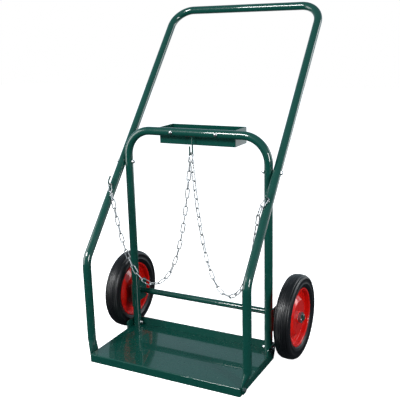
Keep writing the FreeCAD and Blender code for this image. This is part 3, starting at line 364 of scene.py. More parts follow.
@dataclass(frozen=True)
class StovedEnamel:
    """Gloss alkyd enamel, sprayed on steel and stoved.

    It gives a deep, wet-looking colour under clear reflections that waver with the sheet's soft
    dents. A faint orange peel lies below the clear skin, and handling pales it in soft patches.
    """

    name: str
    body_colour: str
    worn_colour: str
    coat_roughness: float
    gloss_low: float
    gloss_high: float
    peel_mm: float = 4.0
    peel_depth_mm: float = 0.0006
    dent_mm: float = 75.0
    dent_depth_mm: float = 0.03
    scuff_mm: float = 9.0
    gloss_mm: float = 28.0
    cloud_wear: float = 0.35
    scuff_wear: float = 0.25

    def make(self) -> bpy.types.Material:
        """Build the material."""
        made, tree = new_material(self.name)
        cloud = noise(tree, self.dent_mm, 3.0)
        scuffs = spread(tree, noise(tree, self.scuff_mm, 6.0), 0.0, self.scuff_wear, 0.66, 0.86)
        colour = blended(tree, spread(tree, cloud, 0.0, self.cloud_wear),
                         linear(self.body_colour), linear(self.worn_colour))
        colour = blended(tree, scuffs, colour, linear(self.worn_colour))
        gloss = spread(tree, noise(tree, self.gloss_mm, 4.0), self.gloss_low, self.gloss_high,
                       0.3, 0.7)
        dents = bump(tree, noise(tree, self.dent_mm, 0.0), self.dent_depth_mm)
        peel = bump(tree, noise(tree, self.peel_mm, 1.0), self.peel_depth_mm, dents)
        skin = put(tree, "ShaderNodeBsdfPrincipled", {
            "Base Color": colour, "Roughness": gloss, "IOR": 1.5, "Normal": peel,
            "Specular IOR Level": 0.15, "Coat Weight": 1.0,
            "Coat Roughness": self.coat_roughness, "Coat Normal": dents})
        finish_with(tree, skin.outputs["BSDF"])
        return made


@dataclass(frozen=True)
class MouldedRubber:
    """Solid rubber, moulded and unpainted.

    It is near black with a dull, slightly blue sheen, fine mould grain and grey dust that lies
    in patches.
    """

    name: str = "moulded_rubber"
    body_colour: str = "#090A0D"
    dust_colour: str = "#131417"
    grain_mm: float = 0.9
    grain_depth_mm: float = 0.012
    dust_mm: float = 22.0
    sheen_mm: float = 12.0
    sheen_low: float = 0.28
    sheen_high: float = 0.42

    def make(self) -> bpy.types.Material:
        """Build the material."""
        made, tree = new_material(self.name)
        dust = spread(tree, noise(tree, self.dust_mm, 5.0), 0.0, 0.6, 0.42, 0.75)
        colour = blended(tree, dust, linear(self.body_colour), linear(self.dust_colour))
        dull = spread(tree, noise(tree, self.sheen_mm, 3.0), self.sheen_low, self.sheen_high)
        grain = bump(tree, noise(tree, self.grain_mm, 2.0), self.grain_depth_mm)
        skin = put(tree, "ShaderNodeBsdfPrincipled", {
            "Base Color": colour, "Roughness": dull, "IOR": 1.52,
            "Specular IOR Level": 0.5, "Normal": grain})
        finish_with(tree, skin.outputs["BSDF"])
        return made


@dataclass(frozen=True)
class BrightZinc:
    """Steel with a bright electroplated zinc coat.

    It gives a pale silver with faintly blue and straw patches, and a soft blurred shine.
    """

    name: str = "bright_zinc"
    silver: str = "#B0B4B8"
    blue: str = "#9FA8B2"
    straw: str = "#B2AC9F"
    roughness: float = 0.36
    tint_mm: float = 6.0
    patch_mm: float = 3.0
    grain_mm: float = 0.5
    grain_depth_mm: float = 0.006

    def make(self) -> bpy.types.Material:
        """Build the material."""
        made, tree = new_material(self.name)
        tint = blended(tree, spread(tree, noise(tree, self.tint_mm, 2.0), 0.0, 1.0, 0.4, 0.6),
                       linear(self.blue), linear(self.straw))
        colour = blended(tree, spread(tree, noise(tree, self.patch_mm, 3.0), 0.1, 0.6),
                         linear(self.silver), tint)
        dull = spread(tree, noise(tree, 1.5, 3.0), self.roughness - 0.06, self.roughness + 0.1)
        grain = bump(tree, noise(tree, self.grain_mm, 2.0), self.grain_depth_mm)
        skin = put(tree, "ShaderNodeBsdfPrincipled", {
            "Base Color": colour, "Metallic": 1.0, "Roughness": dull, "Normal": grain})
        finish_with(tree, skin.outputs["BSDF"])
        return made


@dataclass(frozen=True)
class MouldedNylon:
    """Moulded nylon, in bushes and in the locking rings of the nuts.

    It gives a waxy, even colour with a soft shine.
    """

    name: str
    colour: str
    pale: str = "#808284"
    patch_mm: float = 4.0
    grain_mm: float = 0.7
    grain_depth_mm: float = 0.01

    def make(self) -> bpy.types.Material:
        """Build the material."""
        made, tree = new_material(self.name)
        shade = blended(tree, spread(tree, noise(tree, self.patch_mm, 2.0), 0.0, 0.3),
                        linear(self.colour), linear(self.pale))
        dull = spread(tree, noise(tree, 2.0, 2.0), 0.38, 0.5)
        skin = put(tree, "ShaderNodeBsdfPrincipled", {
            "Base Color": shade, "Roughness": dull, "IOR": 1.53,
            "Normal": bump(tree, noise(tree, self.grain_mm), self.grain_depth_mm)})
        finish_with(tree, skin.outputs["BSDF"])
        return made


@dataclass(frozen=True)
class StudioPaper:
    """White background paper under and behind the cart.

    The camera sees it white everywhere. Light and reflections find it white well behind the cart
    and, under and in front of it, dark: a painted shade in the paper's colour for the unlit floor.
    """

    name: str = "studio_paper"
    shade: str = "#F4F4F4"
    # painted shade: dark grey colour of the paper under and in front of the cart, seen by light and
    # reflection rays
    painted_floor_shade: str = "#3A4044"
    camera_lift: float = 0.92
    back_lift: float = 0.7
    dark_at: float = 0.7
    pale_at: float = 2.0

    def make(self) -> bpy.types.Material:
        """Build the material: paper, lifted to white where the camera sees it."""
        made, tree = new_material(self.name)
        place = put(tree, "ShaderNodeTexCoord")
        parts = put(tree, "ShaderNodeSeparateXYZ", {0: place.outputs["Object"]})
        back = spread(tree, parts.outputs["Y"], 0.0, 1.0, self.dark_at, self.pale_at)
        rays = put(tree, "ShaderNodeLightPath")
        seen = rays.outputs["Is Camera Ray"]
        pale = put(tree, "ShaderNodeMath", {0: seen, 1: back}, operation="MAXIMUM")
        # painted shade: to light and reflection rays the paper turns dark grey under and in front of
        # the cart, standing in for an unlit floor
        tone = blended(tree, pale.outputs[0], linear(self.painted_floor_shade), linear(self.shade))
        paper = put(tree, "ShaderNodeBsdfDiffuse", {"Color": tone})
        far_glow = put(tree, "ShaderNodeMath", {0: rays.outputs["Is Glossy Ray"], 1: back},
                       operation="MULTIPLY")
        low = put(tree, "ShaderNodeMath", {0: far_glow.outputs[0], 1: self.back_lift},
                  operation="MULTIPLY")
        high = put(tree, "ShaderNodeMath", {0: seen, 1: self.camera_lift}, operation="MULTIPLY")
        lift = put(tree, "ShaderNodeMath", {0: low.outputs[0], 1: high.outputs[0]},
                   operation="MAXIMUM")
        glow = put(tree, "ShaderNodeEmission", {"Color": linear("#FFFFFF"),
                                                "Strength": lift.outputs[0]})
        both = put(tree, "ShaderNodeAddShader", {0: paper.outputs[0], 1: glow.outputs[0]})
        finish_with(tree, both.outputs[0])
        return made


@dataclass
class Finishes:
    """The cart's finishes, made once."""

    green: bpy.types.Material = field(default_factory=lambda: StovedEnamel(
        "green_stoved_enamel", "#073D34", "#0B4840", coat_roughness=0.03, gloss_low=0.2,
        gloss_high=0.34).make())
    red: bpy.types.Material = field(default_factory=lambda: StovedEnamel(
        "red_stoved_enamel", "#D40C07", "#CF2A1E", coat_roughness=0.08, gloss_low=0.2,
        gloss_high=0.36, dent_mm=40.0).make())
    rubber: bpy.types.Material = field(default_factory=lambda: MouldedRubber().make())
    zinc: bpy.types.Material = field(default_factory=lambda: BrightZinc().make())
    bush: bpy.types.Material = field(
        default_factory=lambda: MouldedNylon("black_nylon", "#1B1C1E").make())
    insert: bpy.types.Material = field(
        default_factory=lambda: MouldedNylon("white_nylon", "#C9CBCC").make())


def dress(nodes: Iterable[str], material: bpy.types.Material) -> None:
    """Give CAD nodes a finish through their own material slots."""
    for name in nodes:
        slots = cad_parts[name].material_slots
        for held in slots:
            held.material = material


# sub-assemblies

@dataclass
class TubeFrame:
    """Handle, legs, upright and wheel brackets, with the welds that hold the brackets."""

    nodes: tuple[str, ...] = ("handle_tube", "upright_frame", "front_leg_left", "front_leg_right",
                              "wheel_bracket_left", "wheel_bracket_right", "axle", "center_hook",
                              "side_hook_left", "side_hook_right")
    upright_x: float = 231.2 * MM
    bracket_out: float = 15.6 * MM
    bracket_low: float = 92 * MM
    bracket_high: float = 162 * MM
    bracket_wrap_deg: float = 8.0
    axle_y: float = 50 * MM
    axle_z: float = 127 * MM
    axle_radius: float = 9.5 * MM
    weld_mm: float = 3.2

    def bracket_welds(self, side: Side) -> Shape:
        """Weld beads along one bracket: down its front tip and round the axle inside it."""
        shape = Shape()
        sign = side.value
        wrap = math.radians(self.bracket_wrap_deg)
        tip = Vector((sign * (self.upright_x - self.bracket_out * math.sin(wrap) - 0.8 * MM),
                      -self.bracket_out * math.cos(wrap) + 2.0 * MM, 0))
        for low, high in ((0.08, 0.36), (0.64, 0.92)):
            span = self.bracket_high - self.bracket_low
            start = tip + Vector((0, 0, self.bracket_low + span * low))
            end = tip + Vector((0, 0, self.bracket_low + span * high))
            shape.weld(line(start, end), self.weld_mm)
        inside = sign * (self.upright_x + self.bracket_out - 3.2 * MM)
        centre = Vector((inside, self.axle_y, self.axle_z))
        shape.weld(ring(centre, self.axle_radius + 0.8 * MM, Vector((1, 0, 0))), self.weld_mm)
        return shape

    def build(self, finishes: Finishes) -> list[bpy.types.Object]:
        """Dress the tubes and lay the welds."""
        dress(self.nodes, finishes.green)
        pieces = []
        for side in Side:
            welds = self.bracket_welds(side)
            pieces.append(welds.piece("bracket_welds_" + side.tag, finishes.green, "cart",
                                      "green_paint"))
        return pieces


@dataclass
class BasePan:
    """Folded base pan, with the welded seams of its two front corners."""

    half_width: float = 246.3 * MM
    front: float = -243.0 * MM
    height: float = 24.8 * MM
    sheet: float = 2.5 * MM
    weld_mm: float = 3.0
    weld_inset: float = 0.6 * MM
    weld_foot: float = 2.0 * MM

    def build(self, finishes: Finishes) -> list[bpy.types.Object]:
        """Dress the pan and lay the inner corner welds."""
        dress(["base_pan"], finishes.green)
        shape = Shape()
        for side in Side:
            x = side.value * (self.half_width - self.sheet - self.weld_inset)
            y = self.front + self.sheet + self.weld_inset
            foot = Vector((x, y, self.weld_foot))
            shape.weld(line(foot, Vector((x, y, self.height - self.sheet))), self.weld_mm)
        return [shape.piece("pan_corner_welds", finishes.green, "cart", "green_paint")]


@dataclass
class ToolTray:
    """Tray folded from one sheet: rounded folds at the floor and open seams at the corners."""

    half_width: float = 125 * MM
    front: float = 12.6 * MM
    depth: float = 80 * MM
    low: float = 631 * MM
    height: float = 49 * MM
    sheet: float = 1.5 * MM
    fold: float = 2.4 * MM
    seam: float = 0.5 * MM
    fold_steps: int = 6
    tack_mm: float = 2.4
    tack_half: float = 2.5 * MM
    tack_heights: tuple[float, ...] = (0.3, 0.86)

    def wall(self, shape: Shape, start: Vector, along: Vector, inward: Vector) -> None:
        """One wall with its fold into the floor.

        Args:
            shape: Mesh that takes the wall.
            start: Outer low corner of the wall.
            along: Run of the wall.
            inward: Unit direction to the tray's inside.
        """
        up = Vector((0, 0, 1))
        turns = [math.pi / 2 * i / self.fold_steps for i in range(self.fold_steps + 1)]
        inner_fold = self.fold - self.sheet
        section = [(self.fold * (1 - math.sin(a)), self.fold * (1 - math.cos(a))) for a in turns]
        section += [(0.0, self.height), (self.sheet, self.height)]
        section += [(self.fold - inner_fold * math.sin(a), self.fold - inner_fold * math.cos(a))
                    for a in reversed(turns)]
        trim = along.normalized() * self.seam
        ends = (start + trim, start + along - trim)
        points = [tuple(end + inward * x + up * z) for end in ends for x, z in section]
        count = len(section)
        faces: list[tuple[int, ...]] = [tuple(range(count)), tuple(range(count, 2 * count))]
        faces += [(i, (i + 1) % count, (i + 1) % count + count, i + count) for i in range(count)]
        shape.add(points, faces)

    def build(self, finishes: Finishes) -> list[bpy.types.Object]:
        """Build the floor, the four walls and the corner tacks."""
        shape = Shape()
        x = Vector((1, 0, 0))
        y = Vector((0, 1, 0))
        left_front = Vector((-self.half_width, self.front, self.low))
        right_front = Vector((self.half_width, self.front, self.low))
        left_back = left_front + y * self.depth
        right_back = right_front + y * self.depth
        self.wall(shape, left_front, x * 2 * self.half_width, y)
        self.wall(shape, left_back, x * 2 * self.half_width, -y)
        inset = y * (self.sheet + self.seam)
        self.wall(shape, left_front + inset, y * self.depth - inset * 2, x)
        self.wall(shape, right_front + inset, y * self.depth - inset * 2, -x)
        edge = self.fold
        lows = (-self.half_width + edge, self.front + edge, self.low)
        highs = (self.half_width - edge, self.front + self.depth - edge, self.low + self.sheet)
        corners = [(a, b, c) for a in (lows[0], highs[0]) for b in (lows[1], highs[1])
                   for c in (lows[2], highs[2])]
        shape.add(corners, [(0, 1, 3, 2), (4, 6, 7, 5), (0, 4, 5, 1), (2, 3, 7, 6), (0, 2, 6, 4),
                            (1, 5, 7, 3)])
        for corner in (left_front, right_front, left_back, right_back):
            inside_x = self.sheet if corner.x < 0 else -self.sheet
            inside_y = self.sheet if corner.y < self.front + self.depth / 2 else -self.sheet
            base = corner + Vector((inside_x, inside_y, 0))
            reach = Vector((0, 0, self.tack_half))
            for share in self.tack_heights:
                spot = base + Vector((0, 0, self.height * share))
                shape.weld(line(spot - reach, spot + reach), self.tack_mm)
        return [shape.piece("folded_tray", finishes.green, "cart", "green_paint",
                            replaces=["tool_tray"])]


@dataclass
class Hooks:
    """Weld collars where the three hook rods meet the tubes."""

    rod: float = 4.6 * MM
    tube_radius: float = 12.5 * MM
    lean_deg: float = 39.9
    cross_height: float = 570 * MM
    side_drop: float = 93.3 * MM
    leg_x: float = 256.4 * MM
    bar_height: float = 669 * MM
    center_x: float = -8 * MM
    weld_mm: float = 2.6
    weld_lift: float = 0.4 * MM
    weld_out: float = 0.9 * MM
    sweep_deg: float = 350.0

    def collar(self, shape: Shape, foot: Vector, along: Vector) -> None:
        """Lay one collar round a rod's foot."""
        shape.weld(ring(foot, self.rod / 2 + self.weld_out, along, 0, self.sweep_deg),
                   self.weld_mm)

    def build(self, finishes: Finishes) -> list[bpy.types.Object]:
        """Lay a ring weld round each rod."""
        shape = Shape()
        lean = math.radians(self.lean_deg)
        along = Vector((0, math.sin(lean), math.cos(lean)))
        forward = Vector((0, -math.cos(lean), math.sin(lean)))
        for side in Side:
            axis = Vector((side.value * self.leg_x, 0, self.cross_height)) - along * self.side_drop
            self.collar(shape, axis + forward * (self.tube_radius + self.weld_lift), forward)
        under = Vector((self.center_x, 0, self.bar_height - self.tube_radius - self.weld_lift))
        self.collar(shape, under, Vector((0, 0, 1)))
        return [shape.piece("hook_welds", finishes.green, "cart", "green_paint")]


@dataclass
class Fastener:
    """One bolt or screw with its lock nut, from its bearing faces."""

    head_at: Point
    nut_at: Point
    axis: Vector
    drive: Drive = Drive.HEXAGON
    size: float = 6 * MM
    flats: float = 10 * MM
    head_height: float = 4 * MM
    dome_width: float = 11.5 * MM
    dome_height: float = 3.4 * MM
    nut_height: float = 5 * MM
    spare: float = 3 * MM
    thread_pitch: float = 1.0 * MM
    thread_depth: float = 0.45 * MM

    def hexagon(self, shape: Shape, start: Vector, along: Vector, height: float) -> None:
        """Hexagonal block whose outer corners are chamfered to a cone."""
        turn = along.to_track_quat("X", "Z").to_matrix()
        corner = self.flats / 2 / math.cos(math.pi / 6)
        count = 6 * 6
        rings = []
        points = []
        # distance along the axis, with the reach there as a share of the corners'
        levels = [(0.0, 0.985), (height * 0.04, 1.0), (height * 0.72, 1.0), (height * 0.88, 0.955),
                  (height, 0.88)]
        for level, share in levels:
            rings.append(len(points))
            for i in range(count):
                angle = 2 * math.pi * i / count
                within = (angle % (math.pi / 3)) - math.pi / 6
                flat_reach = self.flats / 2 / math.cos(within)
                reach = min(flat_reach, corner * share)
                local = Vector((level, reach * math.cos(angle), reach * math.sin(angle)))
                points.append(tuple(turn @ local + start))
        faces: list[tuple[int, ...]] = [tuple(range(count)),
                                        tuple(range(rings[-1], rings[-1] + count))]
        for a, b in zip(rings, rings[1:]):
            faces += [(a + i, a + (i + 1) % count, b + (i + 1) % count, b + i)
                      for i in range(count)]
        shape.add(points, faces)

    def thread(self, start: float, end: float) -> Profile:
        """Profile of a threaded run between two distances along the axis."""
        profile = []
        at = start
        while at + self.thread_pitch <= end:
            profile.append((at, self.size / 2))
            profile.append((at + self.thread_pitch / 2, self.size / 2 - self.thread_depth))
            at += self.thread_pitch
        profile.append((at, self.size / 2))
        profile.append((end, self.size / 2 - self.thread_depth))
        return profile

    def bolt(self, shape: Shape) -> None:
        """Head and threaded shank."""
        into = -self.axis
        start = Vector(self.head_at)
        if self.drive is Drive.HEXAGON:
            self.hexagon(shape, start, self.axis, self.head_height)
        else:
            radius = self.dome_width / 2
            profile = [(0.0, radius * 0.97), (0.2 * MM, radius)]
            steps = 8
            for i in range(1, steps):
                turn = math.pi / 2 * i / steps
                profile.append((self.dome_height * math.sin(turn), radius * math.cos(turn)))
            profile.append((self.dome_height, 0.05 * MM))
            shape.turned(profile, self.head_at, self.axis, 32)
        length = (Vector(self.nut_at) - start).dot(into) + self.nut_height + self.spare
        plain = length - self.nut_height - self.spare - 2 * MM
        profile = [(0.0, self.size / 2), (plain, self.size / 2)]
        profile += self.thread(plain + 0.3 * MM, length)
        shape.turned(profile, self.head_at, into, 20)

    def nut(self, shape: Shape) -> None:
        """Hexagonal nut with the collar that holds the nylon ring."""
        into = -self.axis
        start = Vector(self.nut_at)
        self.hexagon(shape, start, into, self.nut_height * 0.72)
        collar = self.flats / 2 * 0.9
        hole = self.size / 2 + 0.7 * MM
        low = self.nut_height * 0.66
        profile = [(low, collar), (self.nut_height * 0.9, collar), (self.nut_height, collar * 0.9),
                   (self.nut_height, hole), (low, hole)]
        shape.turned(profile, self.nut_at, into, 28, closed=True)

    def nylon(self, shape: Shape) -> None:
        """Locking ring inside the nut's collar."""
        low = self.nut_height * 0.7
        high = self.nut_height * 0.97
        outside = self.size / 2 + 0.65 * MM
        inside = self.size / 2 + 0.02 * MM
        shape.turned([(low, outside), (high, outside), (high, inside), (low, inside)],
                     self.nut_at, -self.axis, 28, closed=True)


@dataclass
class BoltSet:
    """A group of identical fasteners that stands for a bolt node and a nut node."""

    bolts_node: str
    nuts_node: str
    fasteners: list[Fastener]

    def build(self, finishes: Finishes) -> list[bpy.types.Object]:
        """Build the bolts, the nuts and their nylon rings."""
        bolts = Shape()
        nuts = Shape()
        rings = Shape()
        for fastener in self.fasteners:
            fastener.bolt(bolts)
            fastener.nut(nuts)
            fastener.nylon(rings)
        return [
            bolts.piece("threaded_" + self.bolts_node, finishes.zinc, "cart", "zinc_steel",
                        replaces=[self.bolts_node], crease_deg=28),
            nuts.piece("locking_" + self.nuts_node, finishes.zinc, "cart", "zinc_steel",
                       replaces=[self.nuts_node], crease_deg=28),
            rings.piece("nylon_of_" + self.nuts_node, finishes.insert, "cart", "bush_plastic"),
        ]


@dataclass
class FrameBolts:
    """Where the cart's bolts and screws sit, from the tubes' and the sheets' sizes."""

    handle_head_x: float = 268.9 * MM
    inner_x: float = 218.7 * MM
    cross_z: float = 570 * MM
    pan_x: float = 246.3 * MM
    foot_z: float = 35.5 * MM
    lug_head_x: float = 249.6 * MM
    lug_nut_x: float = 243.8 * MM
    lug_y: float = -219.4 * MM
    lug_z: float = 11.5 * MM
    screw_x: float = 73.5 * MM
    screw_y: float = -12.5 * MM
    screw_nut_y: float = 14.1 * MM
    bar_z: float = 669 * MM

    def across(self, head_x: float, nut_x: float, y: float, z: float) -> list[Fastener]:
        """A pair of bolts along X, one on each side."""
        return [Fastener((s.value * head_x, y, z), (s.value * nut_x, y, z),
                         Vector((s.value, 0, 0))) for s in Side]

    def build(self, finishes: Finishes) -> list[bpy.types.Object]:
        """Build all four sets."""
        screws = [Fastener((s.value * self.screw_x, self.screw_y, self.bar_z),
                           (s.value * self.screw_x, self.screw_nut_y, self.bar_z),
                           Vector((0, -1, 0)), Drive.DOME) for s in Side]
        sets = [
            BoltSet("handle_bolts", "handle_nuts",
                    self.across(self.handle_head_x, self.inner_x, 0, self.cross_z)),
            BoltSet("foot_bolts", "foot_nuts",
                    self.across(self.pan_x, self.inner_x, 0, self.foot_z)),
            BoltSet("leg_bolts", "leg_nuts",
                    self.across(self.lug_head_x, self.lug_nut_x, self.lug_y, self.lug_z)),
            BoltSet("tray_screws", "tray_nuts", screws),
        ]
        pieces = []
        for one in sets:
            pieces += one.build(finishes)
        return pieces


# edge of the tread: millimetres outwards from the crown's edge, and millimetres below it
TREAD_EDGE_MM = ((0.0, 0.0), (0.7, 0.7), (1.1, 2.4), (1.9, 3.3), (2.9, 3.0), (3.6, 2.4),
                 (4.7, 2.5), (6.0, 3.6), (7.0, 5.6))
# side wall with its rings: millimetres inwards, and share of the height from lip to tread
SIDE_WALL = ((0.15, 0.74), (0.0, 0.68), (0.5, 0.66), (0.7, 0.50), (1.2, 0.36), (0.8, 0.345),
             (0.9, 0.30), (1.5, 0.28), (2.6, 0.14))


@dataclass
class Wheel:
    """Wheel with a ribbed solid tyre, two pressed rim halves, a hub tube and its bushes."""

    side: Side
    half_width: float = 22.9 * MM
    outer_radius: float = 127 * MM
    lip_radius: float = 88.3 * MM
    bead_half: float = 15.2 * MM
    bead_radius: float = 85 * MM
    crown_half: float = 14.2 * MM
    crown_drop: float = 1.5 * MM
    rib_count: int = 3
    groove_depth: float = 1.3 * MM
    groove_width: float = 1.3 * MM
    steps: int = 180
    weld_mm: float = 3.4
    weld_out: float = 0.7 * MM
    disc_radius: float = 24 * MM

    def centre(self) -> Vector:
        """Middle of the tyre, read from its CAD node."""
        low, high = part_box("tyre_" + self.side.tag)
        return (low + high) / 2

    def crown_height(self, x: float) -> float:
        """Radius of the smooth crown at a distance from the middle plane."""
        return self.outer_radius - self.crown_drop * (x / self.crown_half) ** 2

    def half_section(self) -> Profile:
        """Outer half of the tyre's section, from the middle of the tread to the bead."""
        points: Profile = [(0.0, self.outer_radius)]
        pitch = self.crown_half / self.rib_count
        for i in range(self.rib_count):
            at = pitch * (i + 0.62)
            top = self.crown_height(at)
            half = self.groove_width / 2
            points += [(at - half * 1.6, top), (at - half, top - self.groove_depth * 0.25),
                       (at - half * 0.6, top - self.groove_depth),
                       (at + half * 0.6, top - self.groove_depth),
                       (at + half, top - self.groove_depth * 0.25), (at + half * 1.6, top)]
        top = self.crown_height(self.crown_half)
        points += [(self.crown_half + out * MM, top - drop * MM) for out, drop in TREAD_EDGE_MM]
        reach = self.outer_radius - self.lip_radius
        points += [(self.half_width - inward * MM, self.lip_radius + reach * share)
                   for inward, share in SIDE_WALL]
        points += [
            (self.bead_half + 2.2 * MM, self.lip_radius + 0.6 * MM),
            (self.bead_half, self.lip_radius), (self.bead_half, self.bead_radius + 1.0 * MM),
            (self.bead_half - 1.0 * MM, self.bead_radius),
        ]
        return points

    def build(self, finishes: Finishes) -> list[bpy.types.Object]:
        """Build the tyre and the hub's welds, and dress the rim, the hub and the bushes."""
        tag = self.side.tag
        body = "wheel_" + tag
        dress(["rim_outer_" + tag, "rim_inner_" + tag], finishes.red)
        dress(["hub_" + tag], finishes.zinc)
        dress(["hub_bushes_" + tag], finishes.bush)
        half = self.half_section()
        section = half + [(-x, r) for x, r in reversed(half[1:])]
        centre = self.centre()
        tyre = Shape()
        tyre.turned(section, tuple(centre), Vector((1, 0, 0)), self.steps, closed=True)
        pieces = [tyre.piece("ribbed_tyre_" + tag, finishes.rubber, body, "tyre_rubber",
                             replaces=["tyre_" + tag], crease_deg=50)]
        welds = Shape()
        hub_low, hub_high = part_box("hub_" + tag)
        hub_radius = (hub_high.z - hub_low.z) / 2
        for node, outward in (("rim_outer_" + tag, self.side.value),
                              ("rim_inner_" + tag, -self.side.value)):
            face = self.disc_face(node, outward)
            welds.weld(ring(Vector((face, centre.y, centre.z)), hub_radius + self.weld_out,
                            Vector((1, 0, 0))), self.weld_mm)
        pieces.append(welds.piece("hub_welds_" + tag, finishes.red, body, "red_paint"))
        return pieces

    def disc_face(self, node: str, outward: int) -> float:
        """Height along X of a rim half's raised middle, where the hub passes through it.

        Args:
            node: CAD node of the rim half.
            outward: 1 where its outside faces +X, else -1.

        Returns:
            The X of the outside face next to the hub.
        """
        centre = self.centre()
        near = [v.co.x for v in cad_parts[node].data.vertices
                if math.hypot(v.co.y - centre.y, v.co.z - centre.z) < self.disc_radius]
        return max(near) if outward > 0 else min(near)


# a link's weld: share of its half length, and share of the full swelling there
LINK_WELD = ((-1.0, 0.0), (-0.6, 0.6), (-0.25, 1.0), (-0.1, 0.75), (0.1, 0.75), (0.25, 1.0),
             (0.6, 0.6), (1.0, 0.0))


@dataclass
class SafetyChain:
    """Long-link chain, with the swelling of the butt weld in one side of every link."""

    side: Side
    wire: float = 3.0 * MM
    swell: float = 0.5 * MM
    weld_length: float = 4.2 * MM
    sunk: float = 0.05 * MM
    steps: int = 12

    def links(self) -> list[np.ndarray]:
        """Corner points of each link, found as the loose parts of the CAD node's mesh."""
        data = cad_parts["chain_" + self.side.tag].data
        shell = bmesh.new()
        shell.from_mesh(data)
        bmesh.ops.remove_doubles(shell, verts=shell.verts, dist=1e-6)
        shell.verts.ensure_lookup_table()
        seen: set[int] = set()
        found = []
        for first in shell.verts:
            if first.index in seen:
                continue
            stack = [first]
            seen.add(first.index)
            members = []
            while stack:
                corner = stack.pop()
                members.append(corner.co[:])
                for edge in corner.link_edges:
                    other = edge.other_vert(corner)
                    if other.index not in seen:
                        seen.add(other.index)
                        stack.append(other)
            found.append(np.array(members))
        shell.free()
        return found

    def build(self, finishes: Finishes) -> list[bpy.types.Object]:
        """Dress the chain and add a weld swelling to every link."""
        tag = self.side.tag
        dress(["chain_" + tag], finishes.zinc)
        shape = Shape()
        links = self.links()
        for points in links:
            centred = points - points.mean(0)
            _, _, axes = np.linalg.svd(centred, full_matrices=False)
            along = Vector(axes[0])
            across = Vector(axes[1])
            spans = centred @ axes[1]
            offset = (spans.max() - spans.min()) / 2 - self.wire / 2
            spot = Vector(points.mean(0)) + across * offset
            half = self.weld_length / 2
            wire = self.wire / 2 - self.sunk
            profile = [(half * share, wire + self.swell * rise) for share, rise in LINK_WELD]
            shape.turned(profile, tuple(spot), along, self.steps)
        LOG.info("chain %s has %d links", tag, len(links))
        return [shape.piece("link_welds_" + tag, finishes.zinc, "chain_" + tag, "zinc_steel",
                            crease_deg=60)]


@dataclass
class AxleEnds:
    """Washers and split pins that keep the wheels on."""

    nodes: tuple[str, ...] = ("wheel_washers", "split_pins")

    def build(self, finishes: Finishes) -> list[bpy.types.Object]:
        """Dress the washers and the pins."""
        dress(self.nodes, finishes.zinc)
        return []


@dataclass
class Softbox:
    """Rectangular studio lamp that points at the cart."""

    name: str
    place: Point
    aim: Point
    width: float
    height: float
    power: float

    def build(self) -> None:
        """Place the lamp."""
        lamp = bpy.data.lights.new(self.name, "AREA")
        lamp.shape = "RECTANGLE"
        lamp.size = self.width
        lamp.size_y = self.height
        lamp.energy = self.power
        held = bpy.data.objects.new(self.name, lamp)
        held.location = self.place
        held.rotation_euler = (Vector(self.place) - Vector(self.aim)).to_track_quat(
            "Z", "Y").to_euler()
        bpy.context.scene.collection.objects.link(held)


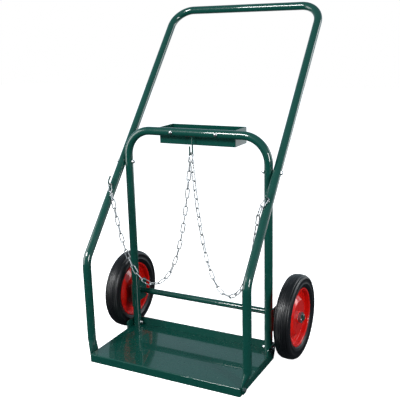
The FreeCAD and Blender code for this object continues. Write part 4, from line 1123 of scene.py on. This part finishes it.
@dataclass
class Studio:
    """Paper floor, surroundings, lamps and camera."""

    azimuth_deg: float = 27.71
    elevation_deg: float = 14.71
    roll_deg: float = -1.48
    distance: float = 2.01861
    focal_px: float = 676.51
    image_px: float = 400.0
    middle_px: tuple[float, float] = (200.48, 208.64)
    target: Point = (0.01348, 0.0, 0.44303)
    floor_half: float = 9.0
    room_low: str = "#B4CAD6"
    room_high: str = "#8494A0"
    room_front: str = "#87959D"
    room_strength: float = 0.9

    def camera(self) -> None:
        """Place the camera at the photograph's angle."""
        around = math.radians(self.azimuth_deg)
        above = math.radians(self.elevation_deg)
        back = Vector((math.sin(around) * math.cos(above), -math.cos(around) * math.cos(above),
                       math.sin(above)))
        right = (-back).cross(Vector((0, 0, 1))).normalized()
        up = right.cross(-back)
        tilt = math.radians(self.roll_deg)
        turned_right = right * math.cos(tilt) + up * math.sin(tilt)
        turned_up = up * math.cos(tilt) - right * math.sin(tilt)
        place = Matrix((turned_right, turned_up, back)).transposed().to_4x4()
        place.translation = Vector(self.target) + back * self.distance
        lens = bpy.data.cameras.new("camera")
        lens.sensor_width = 36.0
        lens.lens = self.focal_px / self.image_px * lens.sensor_width
        lens.shift_x = (self.image_px / 2 - self.middle_px[0]) / self.image_px
        lens.shift_y = (self.middle_px[1] - self.image_px / 2) / self.image_px
        held = bpy.data.objects.new("camera", lens)
        held.matrix_world = place
        bpy.context.scene.collection.objects.link(held)
        bpy.context.scene.camera = held

    def surroundings(self) -> None:
        """Light the room: white to the camera, and to light and gloss a grey-blue gradient.

        The gradient is palest low behind the cart and dims upwards and towards the camera.
        """
        world = bpy.data.worlds.new("studio")
        bpy.context.scene.world = world
        world.use_nodes = True
        tree = world.node_tree
        tree.nodes.clear()
        where = put(tree, "ShaderNodeTexCoord")
        parts = put(tree, "ShaderNodeSeparateXYZ", {0: where.outputs["Generated"]})
        rise = spread(tree, parts.outputs["Z"], 0.0, 1.0, 0.34, 0.62)
        shade = blended(tree, rise, linear(self.room_low), linear(self.room_high))
        front = spread(tree, parts.outputs["Y"], 1.0, 0.0, -0.35, 0.35)
        shade = blended(tree, front, shade, linear(self.room_front))
        room = put(tree, "ShaderNodeBackground", {"Color": shade,
                                                  "Strength": self.room_strength})
        white = put(tree, "ShaderNodeBackground", {"Color": linear("#FFFFFF"), "Strength": 1.0})
        rays = put(tree, "ShaderNodeLightPath")
        mixed = put(tree, "ShaderNodeMixShader", {0: rays.outputs["Is Camera Ray"],
                                                  1: room.outputs[0], 2: white.outputs[0]})
        put(tree, "ShaderNodeOutputWorld", {"Surface": mixed.outputs[0]})

    def floor(self) -> None:
        """Lay the paper."""
        half = self.floor_half
        paper = mesh_object("paper_floor", [(-half, -half, 0), (half, -half, 0), (half, half, 0),
                                            (-half, half, 0)], [(0, 1, 2, 3)],
                            StudioPaper().make())

    def build(self) -> None:
        """Set up the whole studio."""
        self.camera()
        self.surroundings()
        self.floor()
        lamps = [
            Softbox("key_box", (-0.9, -2.4, 2.3), (0, 0, 0.5), 0.9, 0.6, 84.0),
            Softbox("left_panel", (-2.3, -1.3, 1.0), (0, 0, 0.5), 1.4, 2.2, 44.0),
            Softbox("right_box", (2.4, -1.2, 1.0), (0, 0, 0.4), 0.5, 1.0, 42.0),
            Softbox("right_back_box", (2.3, 2.0, 1.2), (0, 0.1, 0.4), 1.0, 1.6, 22.0),
        ]
        for lamp in lamps:
            lamp.build()
        settings = bpy.context.scene.view_settings
        settings.view_transform = "Standard"


def main() -> None:
    """Build the studio and every sub-assembly, and report each piece."""
    logging.basicConfig(level=logging.INFO, format="%(name)s: %(message)s")
    Studio().build()
    finishes = Finishes()
    assemblies = [TubeFrame(), BasePan(), ToolTray(), Hooks(), FrameBolts(), AxleEnds(),
                  Wheel(Side.LEFT), Wheel(Side.RIGHT), SafetyChain(Side.LEFT),
                  SafetyChain(Side.RIGHT)]
    for assembly in assemblies:
        for piece in assembly.build(finishes):
            LOG.info("%s: %s with %d faces", type(assembly).__name__, piece.name,
                     len(piece.data.polygons))


if __name__ == "__main__":
    main()
